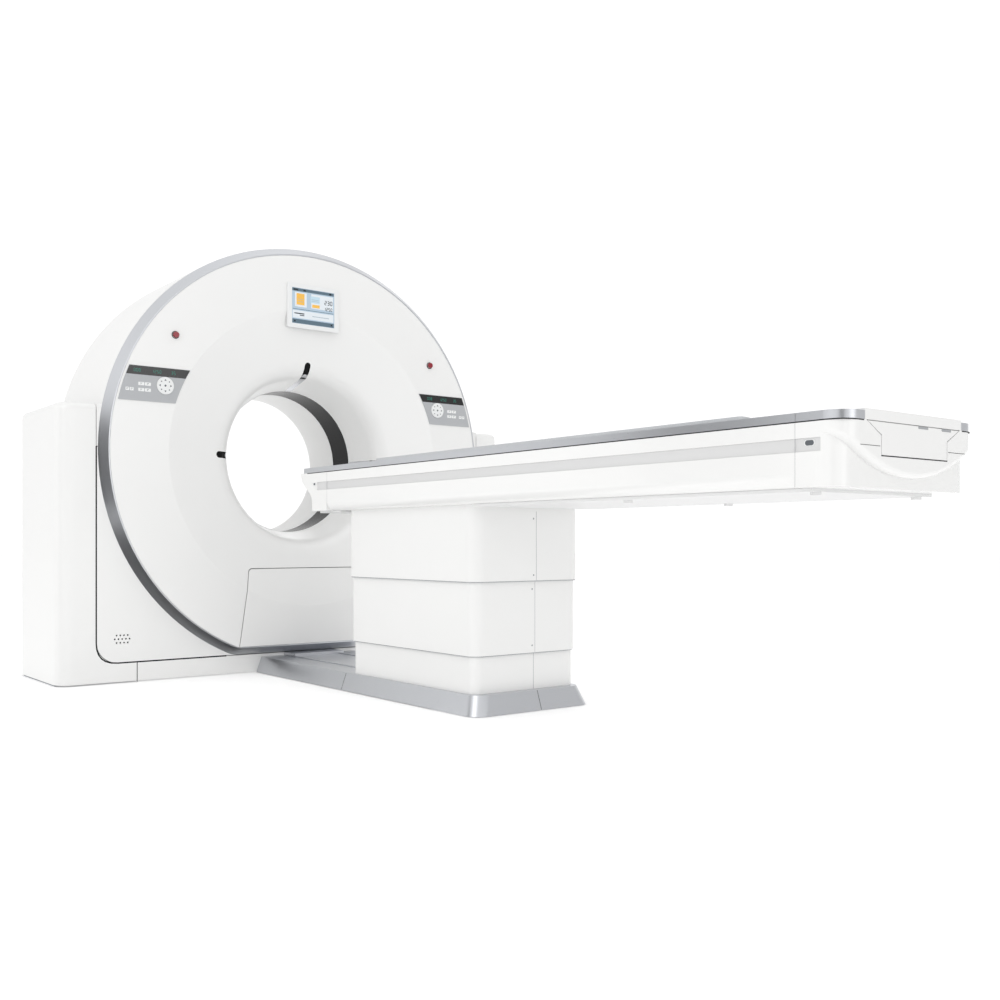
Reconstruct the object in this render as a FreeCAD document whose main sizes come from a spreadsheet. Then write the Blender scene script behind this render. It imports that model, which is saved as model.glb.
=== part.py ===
"""CT scanner: a ring-shaped gantry on a floor frame, with a lifting patient table in front of it.

Frame: the origin is on the floor, straight below the isocentre (the centre of the bore in the scan plane).
+X is to the right for a person facing the gantry's front, +Y runs along the bore from the table into the
gantry, and +Z is up. Sizes are in millimetres.
"""
import FreeCAD, Part
import Sketcher
import math
import os

V = FreeCAD.Vector

# Driving dimensions. Each alias becomes a cell of the sheet, and every piece is bound to those cells.
DIMENSIONS = {
    # gantry, as seen from the front
    "iso_height": 1010,
    "ring_radius": 1000,
    "ring_band": 32,
    "ring_lip": 6,
    "ring_foot_round": 150,
    "gantry_width": 2328,
    "housing_height": 1200,
    "housing_round": 60,
    "housing_top_round": 30,
    "cover_width": 2016,
    "cover_round": 95,
    "cover_split": 8,
    "plinth_height": 86,
    "plinth_width": 1666,
    "floor_gap": 6,
    "shell_wall": 4,
    "moulding_wall": 5,
    "seam": 3,
    "seat_gap": 0.5,
    "running_gap": 0.3,
    # gantry, along the bore
    "front_setback": 306,
    "rear_setback": 294,
    "disc_proud": 40,
    "rear_bulge": 76,
    "rear_bulge_round": 40,
    "bore_radius": 350,
    "window_width": 168,
    "crease_radius": 705,
    "throat_radius": 403,
    "throat_depth": 58,
    "throat_round": 100,
    "bulge_radius": 820,
    "rear_disc_radius": 900,
    # details on the front disc
    "access_top": 487,
    "access_top_width": 644,
    "access_foot_width": 750,
    "access_round": 20,
    "slot_width": 30,
    "slot_inner": 412,
    "slot_outer": 466,
    "panel_inner": 708,
    "panel_outer": 952,
    "panel_low": 210,
    "panel_tall": 152,
    "panel_proud": 3,
    "pad_offset": 723,
    "pad_rise": 284,
    "pad_radius": 38,
    "pad_travel": 2,
    "pad_thick": 3.7,
    "stop_offset": 676,
    "stop_rise": 513,
    "stop_radius": 13,
    "stop_thick": 8,
    "stop_travel": 4,
    "stop_stem": 5,
    "stop_depth": 20,
    "screen_rise": 721,
    "bezel_width": 274,
    "bezel_tall": 210,
    "bezel_proud": 9,
    "screen_width": 226,
    "screen_tall": 170,
    "grille_offset": 896,
    "grille_rise": 190,
    "grille_pitch": 16,
    "grille_hole": 3.8,
    # floor frame, stator and drive
    "frame_height": 70,
    "frame_window": 340,
    "frame_bridge": 160,
    "frame_rail": 66,
    "anchor_spacing": 2040,
    "anchor_depth": 400,
    "anchor_radius": 9,
    "stator_start": 110,
    "stator_thick": 50,
    "stator_radius": 880,
    "stator_hole": 560,
    "stator_foot_width": 1280,
    "race_radius": 600,
    "race_band": 55,
    "race_thick": 45,
    "rotor_front": -230,
    "rotor_plate": 30,
    "rotor_plate_thick": 25,
    "rotor_radius": 930,
    "rotor_rim": 30,
    "rotor_bore": 395,
    "focus_rise": 720,
    "tube_radius": 110,
    "tube_length": 255,
    "collimator_width": 180,
    "collimator_depth": 100,
    "collimator_height": 90,
    "generator_inner": 560,
    "generator_outer": 860,
    "generator_depth": 230,
    "generator_height": 340,
    "exchanger_inner": 580,
    "exchanger_outer": 850,
    "exchanger_depth": 200,
    "exchanger_height": 300,
    "detector_near": 1160,
    "detector_thick": 90,
    "detector_width": 110,
    "detector_span": 52,
    "slip_inner": 420,
    "slip_outer": 535,
    "slip_thick": 18,
    "brush_inner": 430,
    "brush_outer": 530,
    "brush_foot_outer": 640,
    "brush_foot_thick": 12,
    "brush_height": 120,
    "brush_gap": 3,
    "motor_offset": 740,
    "motor_height": 250,
    "motor_radius": 80,
    "motor_length": 180,
    "pulley_radius": 60,
    "pulley_setback": 8,
    "pulley_width": 54,
    "pulley_shaft": 15,
    "motor_setback": 10,
    "motor_foot_width": 120,
    "motor_foot_start": 20,
    "motor_foot_length": 140,
    "belt_width": 50,
    "belt_setback": 10,
    "belt_thick": 8,
    # patient table: foot and lifting column
    "pedestal_width": 504,
    "pedestal_near": 1979,
    "pedestal_far": 1109,
    "pedestal_round": 50,
    "pedestal_wall": 8,
    "skirt_height": 72,
    "skirt_flare": 26,
    "skirt_top_width": 494,
    "skirt_near": 1993,
    "foot_frame_inset": 30,
    "duct_width": 260,
    "duct_reach": 110,
    "duct_height": 15,
    "duct_strip": 18,
    "duct_strip_height": 5,
    "skirt_round": 55,
    "foot_frame_width": 430,
    "foot_frame_floor": 30,
    "foot_frame_rim": 25,
    "foot_anchor_spacing": 340,
    "foot_anchor_depth": 1500,
    "foot_anchor_radius": 8,
    "cover_joint_low": 206,
    "cover_joint_high": 468,
    "cover_overlap": 25,
    "lift_travel": 350,
    "column_width": 220,
    "column_depth": 260,
    "column_wall": 10,
    "lift_motor_top": 75,
    "lift_motor_width": 120,
    "screw_reach": 40,
    "column_spare": 5,
    "column_head_room": 20,
    "nut_thick": 40,
    "screw_radius": 16,
    # patient table: beam and cradle
    "beam_width": 600,
    "beam_bottom": 739,
    "beam_top": 901,
    "rail_top": 922.5,
    "rail_width": 57,
    "rail_inner_round": 15,
    "rail_end_round": 40,
    "beam_foot": 3509,
    "beam_head": 799,
    "beam_wall": 10,
    "beam_round": 35,
    "end_round": 60,
    "end_recess": 24,
    "end_length": 141,
    "head_length": 230,
    "head_undercut": 99,
    "head_nose": 14,
    "head_nose_depth": 38,
    "head_nose_round": 30,
    "head_hollow_rise": 62,
    "head_hollow_round": 50,
    "head_heel": 5,
    "smile_radius": 480,
    "smile_bottom": 767,
    "smile_edge_round": 14,
    "lip_width": 436,
    "lip_top": 928,
    "lip_depth": 95,
    "latch_width": 300,
    "latch_top_width": 426,
    "latch_bottom": 816,
    "latch_shoulder": 866,
    "latch_thick": 8,
    "band_bottom": 826,
    "band_height": 33,
    "band_recess": 6,
    "band_strip": 2,
    "band_foot_end": 69,
    "band_head_end": 144,
    "tray_width": 540,
    "tray_depth": 8,
    "tray_start": 114,
    "tray_gap": 20,
    "tray_foot_inset": 45,
    "tray_foot_radius": 14,
    "tray_foot_drop": 8,
    "tray_foot_spacing": 660,
    "beam_frame_width": 400,
    "beam_frame_height": 121,
    "beam_frame_wall": 8,
    "track_height": 12,
    "track_width": 20,
    "track_offset": 70,
    "cradle_width": 456,
    "cradle_neck_width": 360,
    "cradle_neck_length": 500,
    "cradle_foot": 3156,
    "cradle_edge": 941,
    "cradle_low": 895,
    "cradle_thick": 20,
    "cradle_edge_thick": 9,
    "carriage_length": 600,
    "carriage_width": 200,
    "carriage_inset": 40,
    "frame_inset": 20,
    "drive_width": 120,
    "drive_start": 40,
    "drive_length": 220,
    "drive_head_room": 20,
    "cradle_foot_round": 25,
    "cradle_shoulder": 80,
    "cradle_shoulder_round": 60,
    "cradle_head_round": 40,
    "cradle_head_inset": 12,
}

doc = FreeCAD.newDocument("ct_scanner")
sheet = doc.addObject("Spreadsheet::Sheet", "Sizes")
for row, (alias, amount) in enumerate(DIMENSIONS.items(), start=1):
    sheet.set(f"A{row}", alias.replace("_", " "))
    sheet.set(f"B{row}", str(amount))
    sheet.setAlias(f"B{row}", alias)
doc.recompute()


class Size:
    """A length that knows its value and the sheet formula that it comes from."""

    def __init__(self, value, text):
        self.value = value
        self.text = text

    def __add__(self, other):
        other = as_size(other)
        return Size(self.value + other.value, f"({self.text} + {other.text})")

    def __sub__(self, other):
        other = as_size(other)
        return Size(self.value - other.value, f"({self.text} - {other.text})")

    def __mul__(self, other):
        other = as_size(other)
        return Size(self.value * other.value, f"({self.text} * {other.text})")

    def __truediv__(self, other):
        other = as_size(other)
        return Size(self.value / other.value, f"({self.text} / {other.text})")

    def __radd__(self, other):
        return as_size(other) + self

    def __rsub__(self, other):
        return as_size(other) - self

    def __rmul__(self, other):
        return as_size(other) * self

    def __neg__(self):
        return Size(-self.value, f"(0 - {self.text})")


def as_size(amount):
    """A plain number as a Size."""
    return amount if isinstance(amount, Size) else Size(amount, str(amount))


class Cells:
    """Reads a sheet cell by its alias, as in d.ring_radius."""

    def __getattr__(self, alias):
        return Size(float(sheet.get(alias)), "Sizes." + alias)


d = Cells()

# ---- modelling helpers ---------------------------------------------------------------------------------


def bind(item, path, size):
    """Drives one property of an object from the sheet."""
    item.setExpression(path, as_size(size).text)


def place(item, x=0, y=0, z=0):
    """Drives an object's position from the sheet."""
    for axis, size in (("x", x), ("y", y), ("z", z)):
        bind(item, f"Placement.Base.{axis}", size)


def box(x_span, y_span, z_span):
    """A block between two X, two Y and two Z values."""
    item = doc.addObject("Part::Box", "Block")
    for side, (low, high) in zip(("Length", "Width", "Height"), (x_span, y_span, z_span)):
        bind(item, side, as_size(high) - low)
    place(item, x_span[0], y_span[0], z_span[0])
    return item


def symmetric(width):
    """The span of a width about zero."""
    return (-(as_size(width) / 2), as_size(width) / 2)


AXIS_TURN = {
    "X": FreeCAD.Rotation(V(0, 1, 0), 90),
    "Y": FreeCAD.Rotation(V(1, 0, 0), -90),
    "Z": FreeCAD.Rotation(),
}


def cylinder(axis, centre, span, radius):
    """A round bar along an axis; centre gives its place on the other two axes, in X, Y, Z order."""
    item = doc.addObject("Part::Cylinder", "Bar")
    item.Placement = FreeCAD.Placement(V(), AXIS_TURN[axis])
    bind(item, "Radius", radius)
    bind(item, "Height", as_size(span[1]) - span[0])
    where = list(centre)
    where.insert("XYZ".index(axis), span[0])
    place(item, *where)
    return item


def tube(axis, centre, span, outer, inner):
    """A round bar with a hole down its middle."""
    return cut(cylinder(axis, centre, span, outer), [cylinder(axis, centre, span, inner)])


def cut(base, tools):
    """A piece with other shapes taken away."""
    tool = tools[0] if len(tools) == 1 else fuse(tools)
    item = doc.addObject("Part::Cut", "Trimmed")
    item.Base = base
    item.Tool = tool
    return item


def fuse(pieces):
    """Several shapes joined into one."""
    item = doc.addObject("Part::MultiFuse", "Joined")
    item.Shapes = pieces
    item.Refine = True
    return item


def group(pieces):
    """Separate solids kept as one node."""
    item = doc.addObject("Part::Compound", "Set")
    item.Links = pieces
    return item


def common(first, second):
    """What two shapes share."""
    item = doc.addObject("Part::MultiCommon", "Shared")
    item.Shapes = [first, second]
    return item


def mirrored(source):
    """The same shape on the other side of the plane X = 0."""
    item = doc.addObject("Part::Mirroring", "Opposite")
    item.Source = source
    item.Normal = V(1, 0, 0)
    return item


def rounded_corner(before, corner, after, radius):
    """Where a corner's arc starts and ends, and its centre."""
    back = (before - corner).normalize()
    ahead = (after - corner).normalize()
    half = back.getAngle(ahead) / 2
    reach = radius / math.tan(half)
    middle = corner + (back + ahead).normalize() * (radius / math.sin(half))
    return corner + back * reach, corner + ahead * reach, middle


def draw_outline(sketch, corners):
    """A closed outline with every corner fixed from the sketch's origin; a third value rounds a corner."""
    spots = [V(as_size(c[0]).value, as_size(c[1]).value, 0) for c in corners]
    radii = [as_size(c[2]) if len(c) > 2 else None for c in corners]
    count = len(corners)
    ends = []
    for i, spot in enumerate(spots):
        if radii[i] is None:
            ends.append((spot, spot, None))
        else:
            ends.append(rounded_corner(spots[i - 1], spot, spots[(i + 1) % count], radii[i].value))
    lines = []
    for i in range(count):
        lines.append(sketch.addGeometry(Part.LineSegment(ends[i][1], ends[(i + 1) % count][0]), False))
    for i, (x, y, *_) in enumerate(corners):
        before, after = lines[i - 1], lines[i]
        if radii[i] is None:
            sketch.addConstraint(Sketcher.Constraint("Coincident", before, 2, after, 1))
            fix_point(sketch, after, 1, x, y)
            continue
        start, end, middle = ends[i]
        turn = (spots[i] - spots[i - 1]).cross(spots[(i + 1) % count] - spots[i]).z
        first, last = (start, end) if turn > 0 else (end, start)
        angles = [math.atan2(p.y - middle.y, p.x - middle.x) for p in (first, last)]
        circle = Part.Circle(middle, V(0, 0, 1), radii[i].value)
        arc = sketch.addGeometry(Part.ArcOfCircle(circle, *angles), False)
        corner = sketch.addGeometry(Part.Point(spots[i]), True)
        arc_ends = (1, 2) if turn > 0 else (2, 1)
        sketch.addConstraint(Sketcher.Constraint("Tangent", before, 2, arc, arc_ends[0]))
        sketch.addConstraint(Sketcher.Constraint("Tangent", arc, arc_ends[1], after, 1))
        sketch.addConstraint(Sketcher.Constraint("PointOnObject", corner, 1, before))
        sketch.addConstraint(Sketcher.Constraint("PointOnObject", corner, 1, after))
        radius = sketch.addConstraint(Sketcher.Constraint("Radius", arc, radii[i].value))
        sketch.setExpression(f"Constraints[{radius}]", radii[i].text)
        fix_point(sketch, corner, 1, x, y)


def fix_point(sketch, shape, spot, x, y):
    """Holds a point at a place driven by the sheet."""
    for kind, size in (("DistanceX", as_size(x)), ("DistanceY", as_size(y))):
        number = sketch.addConstraint(Sketcher.Constraint(kind, shape, spot, size.value))
        sketch.setExpression(f"Constraints[{number}]", size.text)


def sketched_body(plane, outlines, x=0, y=0, z=0):
    """A body with one sketch on one of its own origin planes."""
    body = doc.addObject("PartDesign::Body", "Body")
    place(body, x, y, z)
    sketch = body.newObject("Sketcher::SketchObject", "Outline")
    base = [f for f in body.Origin.OriginFeatures if f.Role == plane][0]
    sketch.AttachmentSupport = (base, [""])
    sketch.MapMode = "FlatFace"
    for corners in outlines:
        draw_outline(sketch, corners)
    return body, sketch


def prism(axis, outlines, span):
    """An outline carried along an axis. Its points are in the other two axes, in X, Y, Z order."""
    plane = {"X": "YZ_Plane", "Y": "XZ_Plane", "Z": "XY_Plane"}[axis]
    body, sketch = sketched_body(plane, outlines, **{axis.lower(): span[0]})
    pad = body.newObject("PartDesign::Pad", "Pad")
    pad.Profile = sketch
    pad.Reversed = axis == "Y"
    bind(pad, "Length", as_size(span[1]) - span[0])
    return body


def turned(corners, angle=360, centre_z=None):
    """A profile of radius against Y, turned about the bore's axis or a line parallel to it."""
    body, sketch = sketched_body("XY_Plane", [corners], z=d.iso_height if centre_z is None else centre_z)
    turn = body.newObject("PartDesign::Revolution", "Turn")
    turn.Profile = sketch
    turn.ReferenceAxis = (sketch, ["V_Axis"])
    turn.Angle = angle
    turn.Midplane = True
    return body


def edges_where(shape, test):
    """Names of a shape's edges whose two ends pass a test."""
    names = []
    for number, edge in enumerate(shape.Edges, start=1):
        if test(edge.Vertexes[0].Point, edge.Vertexes[-1].Point):
            names.append(f"Edge{number}")
    return names


def round_edges(body, radius, test):
    """Rounds the edges of a body's last feature that pass a test."""
    doc.recompute()
    last = body.Tip
    feature = body.newObject("PartDesign::Fillet", "Round")
    feature.Base = (last, edges_where(last.Shape, test))
    bind(feature, "Radius", radius)
    body.Tip = feature
    return body


def softened(base, radius, test):
    """A shape with the edges that pass a test rounded."""
    doc.recompute()
    item = doc.addObject("Part::Fillet", "Softened")
    item.Base = base
    item.Edges = [(int(name[4:]), radius.value, radius.value) for name in edges_where(base.Shape, test)]
    return item


def near(first, second):
    """Whether two numbers are the same length."""
    return abs(first - second) < 0.01


nodes = {}


def node(name, item):
    """Names a finished piece."""
    item.Label = name
    nodes[name] = item
    return item


# ---- places that several pieces share ------------------------------------------------------------------
ISO = d.iso_height
FRONT = -d.front_setback
REAR = d.rear_setback
DISC = FRONT - d.disc_proud
BULGE = REAR + d.rear_bulge
WINDOW = symmetric(d.window_width)
HALF = d.gantry_width / 2
COVER = d.cover_width / 2
PLINTH = d.plinth_width / 2
FLAT = d.plinth_height + d.seam
DISC_FOOT = FLAT + d.ring_band + d.ring_lip + d.seat_gap
TRIM_INNER = d.ring_radius - d.ring_band - d.ring_lip
PAST = 1
BORE = (0, ISO)


# ---- gantry covers -------------------------------------------------------------------------------------
def upright_at(a, b, x):
    """Whether an edge from a to b stands upright at a given X."""
    return near(a.x, x) and near(b.x, x) and near(a.y, b.y)


def outer_rim(a, b, z, open_x):
    """Whether an edge lies at a given height and isn't the one at the side housing's open side."""
    inner = near(a.x, open_x) and near(b.x, open_x)
    return near(a.z, z) and near(b.z, z) and not inner


def side_housing():
    """Tall side cover with a foot that reaches in under the front cover; open inside and below."""
    outer = prism("Y", [[
        (PLINTH, d.floor_gap), (HALF, d.floor_gap), (HALF, d.housing_height), (COVER, d.housing_height),
        (COVER, d.plinth_height, d.cover_round), (PLINTH, d.plinth_height),
    ]], (FRONT, REAR))
    round_edges(outer, d.housing_round, lambda a, b: upright_at(a, b, HALF.value))
    round_edges(outer, d.housing_top_round, lambda a, b: outer_rim(a, b, d.housing_height.value, COVER.value))
    wall = d.shell_wall
    inner = prism("Y", [[
        (PLINTH - PAST, -PAST), (HALF - wall, -PAST), (HALF - wall, d.housing_height - wall),
        (COVER - PAST, d.housing_height - wall),
        (COVER - PAST, d.plinth_height - wall, d.cover_round), (PLINTH - PAST, d.plinth_height - wall),
    ]], (FRONT + wall, REAR - wall))
    round_edges(inner, d.housing_round - wall, lambda a, b: upright_at(a, b, (HALF - wall).value))
    ceiling = (d.housing_height - wall).value
    round_edges(inner, d.housing_top_round - wall, lambda a, b: outer_rim(a, b, ceiling, (COVER - PAST).value))
    return cut(outer, [inner])


right_housing = node("side_housing_right", side_housing())
node("side_housing_left", mirrored(right_housing))


def top_shell():
    """Arched cover over the gantry, with shoulders that drop inside the side housings."""
    wall = d.shell_wall
    along = (FRONT, REAR)
    split = ISO + d.cover_split
    arch = tube("Y", BORE, along, d.ring_radius, d.ring_radius - wall)
    above = box(symmetric(d.gantry_width), along, (d.housing_height - wall, ISO + d.ring_radius + PAST))
    pieces = [common(arch, above)]
    reach = d.housing_height - ISO
    foot = Size(math.sqrt(d.ring_radius.value ** 2 - reach.value ** 2),
                f"sqrt({d.ring_radius.text}^2 - {reach.text}^2)")
    behind = (FRONT + 2 * wall, REAR - wall)
    for side in (1, -1):
        shelf = (foot - wall, COVER - d.seam)
        flange = (COVER - d.seam - wall, COVER - d.seat_gap)
        if side < 0:
            shelf, flange = [(-high, -low) for low, high in (shelf, flange)]
        pieces.append(box(shelf, along, (d.housing_height - wall, d.housing_height)))
        pieces.append(box(flange, behind, (split, d.housing_height)))
    front = box(symmetric(d.cover_width - 2 * d.seam), (FRONT, FRONT + 2 * wall), (split, d.housing_height))
    disc_hole = cylinder("Y", BORE, (FRONT - PAST, FRONT + 3 * wall), d.ring_radius - d.ring_lip)
    pieces.append(cut(front, [disc_hole]))
    return fuse(pieces)


node("top_shell", top_shell())


def front_cover():
    """Lower right front cover, between the ring, the plinth and the side housing."""
    edge = COVER - d.seam
    top = ISO + d.cover_split - d.seam
    plate = prism("Y", [[
        (0, FLAT), (edge, FLAT, d.cover_round - d.seam), (edge, top), (0, top),
    ]], (FRONT, FRONT + 2 * d.shell_wall))
    hole = cylinder("Y", BORE, (FRONT - PAST, FRONT + 3 * d.shell_wall), d.ring_radius - d.ring_lip)
    return cut(plate, [hole])


def grille_holes():
    """Three staggered rows of small round holes for the intercom."""
    holes = []
    for row, count in ((-1, 4), (0, 5), (1, 4)):
        for column in range(count):
            x = -d.grille_offset + d.grille_pitch * (column - (count - 1) / 2)
            z = d.grille_rise + d.grille_pitch * row
            holes.append(cylinder("Y", (x, z), (FRONT - PAST, FRONT + 3 * d.shell_wall), d.grille_hole))
    return holes


node("front_cover_right", front_cover())
node("front_cover_left", cut(mirrored(front_cover()), grille_holes()))


def plinth_strip():
    """Low strip between the side housings' feet, folded back to the floor frame at its top and bottom."""
    wall = d.shell_wall
    width = d.plinth_width - 2 * d.seam
    high = (d.floor_gap, d.plinth_height)
    outer = box(symmetric(width), (FRONT, FRONT + d.housing_round - d.running_gap), high)
    hollow = box(symmetric(width + 2 * PAST), (FRONT + wall, FRONT + d.housing_round + PAST),
                 (d.floor_gap + wall, d.plinth_height - wall))
    return cut(outer, [hollow])


node("plinth_strip", plinth_strip())


def bevelled_disc(radius, flat):
    """A cone-edged disc, narrower towards the front, with its foot cut off flat and bevelled the same."""
    cone = doc.addObject("Part::Cone", "Bevel")
    cone.Placement = FreeCAD.Placement(V(), FreeCAD.Rotation(V(1, 0, 0), 90))
    bind(cone, "Radius1", radius)
    bind(cone, "Radius2", radius - d.ring_band)
    bind(cone, "Height", d.disc_proud)
    place(cone, 0, FRONT, ISO)
    below = prism("X", [[
        (FRONT, flat), (FRONT, -PAST), (DISC, -PAST), (DISC, flat + d.ring_band),
    ]], symmetric(d.gantry_width))
    return cut(cone, [below])


def at_foot_corner(a, b):
    """Whether an edge is the one from the front to the back where the disc's round meets its flat foot."""
    low = FLAT.value + d.ring_band.value + 1
    return a.z < low and b.z < low and near(abs(a.y - b.y), d.disc_proud.value) and a.x * b.x > 0


ring_outside = softened(bevelled_disc(d.ring_radius, FLAT), d.ring_foot_round, at_foot_corner)
node("ring_trim", cut(ring_outside, [bevelled_disc(d.ring_radius - d.ring_lip, FLAT + d.ring_lip)]))


def disc_moulding():
    """Front moulding: a flat ring, a shallow dish from the crease, and a rounded throat to the window."""
    wall = d.moulding_wall
    throat = DISC + d.throat_depth
    return turned([
        (TRIM_INNER - d.seat_gap, DISC), (d.crease_radius, DISC),
        (d.throat_radius, throat, d.throat_round), (d.bore_radius, WINDOW[0]),
        (d.bore_radius + wall, WINDOW[0]), (d.throat_radius + wall, throat + wall, d.throat_round - wall),
        (d.crease_radius, DISC + wall), (TRIM_INNER - d.seat_gap, DISC + wall),
    ])


def access_prism(inset):
    """Outline of the lower access cover, carried through the front moulding."""
    top = d.access_top - inset
    low = d.access_foot_width / 2 - inset
    high = d.access_top_width / 2 - inset
    return prism("Y", [[
        (-low, DISC_FOOT), (low, DISC_FOOT), (high, top, d.access_round), (-high, top, d.access_round),
    ]], (DISC - PAST, WINDOW[0]))


def laser_block(inner, outer, side):
    """A block across the front moulding at twelve, nine or three o'clock, with a rounded outer end."""
    along = (DISC - PAST, WINDOW[0])
    across = symmetric(d.slot_width)
    end = as_size(outer) - d.slot_width / 2
    if side == 0:
        block = box(across, along, (ISO + inner, ISO + end))
        centre = (0, ISO + end)
    else:
        span = (as_size(inner), end) if side > 0 else (-end, -as_size(inner))
        block = box(span, along, (ISO + across[0], ISO + across[1]))
        centre = (side * end, ISO)
    return fuse([block, cylinder("Y", centre, along, d.slot_width / 2)])


SIDES = (0, 1, -1)
channel_start = d.bore_radius - PAST
stop_holes = [cylinder("Y", (side * d.stop_offset, ISO + d.stop_rise), (DISC - PAST, DISC + d.stop_depth),
                       d.stop_stem + d.running_gap) for side in (1, -1)]
below_disc = box(symmetric(d.gantry_width), (DISC - PAST, WINDOW[0]), (-PAST, DISC_FOOT))
node("front_disc", cut(disc_moulding(), [below_disc, access_prism(0)] + stop_holes
                       + [laser_block(channel_start, d.slot_outer, side) for side in SIDES]))
node("access_cover", common(disc_moulding(), access_prism(d.seam)))
node("laser_windows", group([common(disc_moulding(), laser_block(d.slot_inner, d.slot_outer, side))
                             for side in SIDES]))
node("laser_channels", group([common(disc_moulding(), laser_block(channel_start, d.slot_inner, side))
                              for side in SIDES]))

node("window_ring", turned([
    (d.bore_radius, WINDOW[0]), (d.bore_radius + d.shell_wall, WINDOW[0]),
    (d.bore_radius + d.shell_wall, WINDOW[1]), (d.bore_radius, WINDOW[1]),
]))


def rear_disc():
    """Rear moulding: the back half of the bore, a rounded mouth and a raised round face."""
    wall = d.moulding_wall
    mouth = d.rear_bulge_round
    return turned([
        (d.bore_radius, WINDOW[1]), (d.bore_radius + wall, WINDOW[1]),
        (d.bore_radius + wall, BULGE - wall, mouth - wall), (d.bulge_radius - wall, BULGE - wall),
        (d.rear_disc_radius - wall, REAR), (d.rear_disc_radius, REAR),
        (d.bulge_radius, BULGE), (d.bore_radius, BULGE, mouth),
    ])


node("rear_disc", rear_disc())


def rear_cover():
    """Flat back cover with an arched top and a round hole for the rear moulding."""
    wall = d.shell_wall
    along = (REAR - wall, REAR)
    gap = d.seat_gap
    foot, edge = PLINTH - gap, COVER - gap
    low, top = d.plinth_height + gap, d.housing_height - wall - gap
    plate = prism("Y", [[
        (-foot, d.floor_gap), (foot, d.floor_gap), (foot, low), (edge, low, d.cover_round - gap),
        (edge, top), (-edge, top), (-edge, low, d.cover_round - gap), (-foot, low),
    ]], along)
    arch = cylinder("Y", BORE, along, d.ring_radius - wall - gap)
    floor = box(symmetric(d.gantry_width), (REAR - 2 * wall, REAR + wall), (-d.ring_radius, d.floor_gap))
    hole = cylinder("Y", BORE, (REAR - 2 * wall, REAR + wall), d.rear_disc_radius + gap)
    return cut(fuse([plate, arch]), [hole, floor])


node("rear_cover", rear_cover())

# ---- display, control panels and buttons on the front disc ---------------------------------------------
screen_low = ISO + d.screen_rise - d.screen_tall / 2
screen_span = (screen_low, screen_low + d.screen_tall)
bezel_low = ISO + d.screen_rise - d.bezel_tall / 2
bezel = box(symmetric(d.bezel_width), (DISC - d.bezel_proud, DISC), (bezel_low, bezel_low + d.bezel_tall))
screen_recess = box(symmetric(d.screen_width), (DISC - d.bezel_proud - PAST, DISC - d.shell_wall), screen_span)
node("display_bezel", cut(bezel, [screen_recess]))
node("display_screen", box(symmetric(d.screen_width), (DISC - d.bezel_proud + 2, DISC - d.shell_wall),
                           screen_span))


def control_panel():
    """Right control panel: a band of the flat ring between two heights, with a round hole for its pad."""
    along = (DISC - d.panel_proud, DISC)
    ring = tube("Y", BORE, along, d.panel_outer, d.panel_inner)
    low = ISO + d.panel_low
    band = box((0, d.ring_radius), along, (low, low + d.panel_tall))
    hole = cylinder("Y", (d.pad_offset, ISO + d.pad_rise), (DISC - d.panel_proud - PAST, DISC + PAST),
                    d.pad_radius + d.seat_gap)
    return cut(common(ring, band), [hole])


right_panel = control_panel()
node("control_panels", group([right_panel, mirrored(right_panel)]))

for name, side in (("left", -1), ("right", 1)):
    pad_back = DISC - d.pad_travel - d.running_gap
    node(f"pad_{name}", cylinder("Y", (side * d.pad_offset, ISO + d.pad_rise),
                                 (pad_back - d.pad_thick, pad_back), d.pad_radius))
    stop_at = (side * d.stop_offset, ISO + d.stop_rise)
    stop_back = DISC - d.stop_travel - d.running_gap
    cap = cylinder("Y", stop_at, (stop_back - d.stop_thick, stop_back), d.stop_radius)
    stem = cylinder("Y", stop_at, (stop_back - PAST, DISC + 2 * d.moulding_wall), d.stop_stem)
    node(f"stop_button_{name}", fuse([cap, stem]))

# ---- floor frame, stator and rotor ---------------------------------------------------------------------
FRAME_HALF = HALF - d.shell_wall - d.seat_gap
FRAME_SPAN = (FRONT + d.housing_round, REAR - d.housing_round)


def base_frame():
    """Welded floor frame of the gantry, with lightening windows and four anchor holes."""
    slab = box((-FRAME_HALF, FRAME_HALF), FRAME_SPAN, (0, d.frame_height))
    cuts = []
    for side in (1, -1):
        window = (d.frame_bridge, d.frame_bridge + d.frame_window)
        if side < 0:
            window = (-window[1], -window[0])
        cuts.append(box(window, (FRAME_SPAN[0] + d.frame_rail, FRAME_SPAN[1] - d.frame_rail),
                        (-PAST, d.frame_height + PAST)))
        for end in (1, -1):
            cuts.append(cylinder("Z", (side * d.anchor_spacing / 2, end * d.anchor_depth / 2),
                                 (-PAST, d.frame_height + PAST), d.anchor_radius))
    return cut(slab, cuts)


node("base_frame", base_frame())

STATOR = (d.stator_start, d.stator_start + d.stator_thick)
stator_plate = fuse([
    cylinder("Y", BORE, STATOR, d.stator_radius),
    box(symmetric(d.stator_foot_width), STATOR, (d.frame_height, ISO)),
])
node("stator_frame", cut(stator_plate, [cylinder("Y", BORE, (d.stator_start - PAST, STATOR[1] + PAST),
                                                 d.stator_hole)]))

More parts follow.
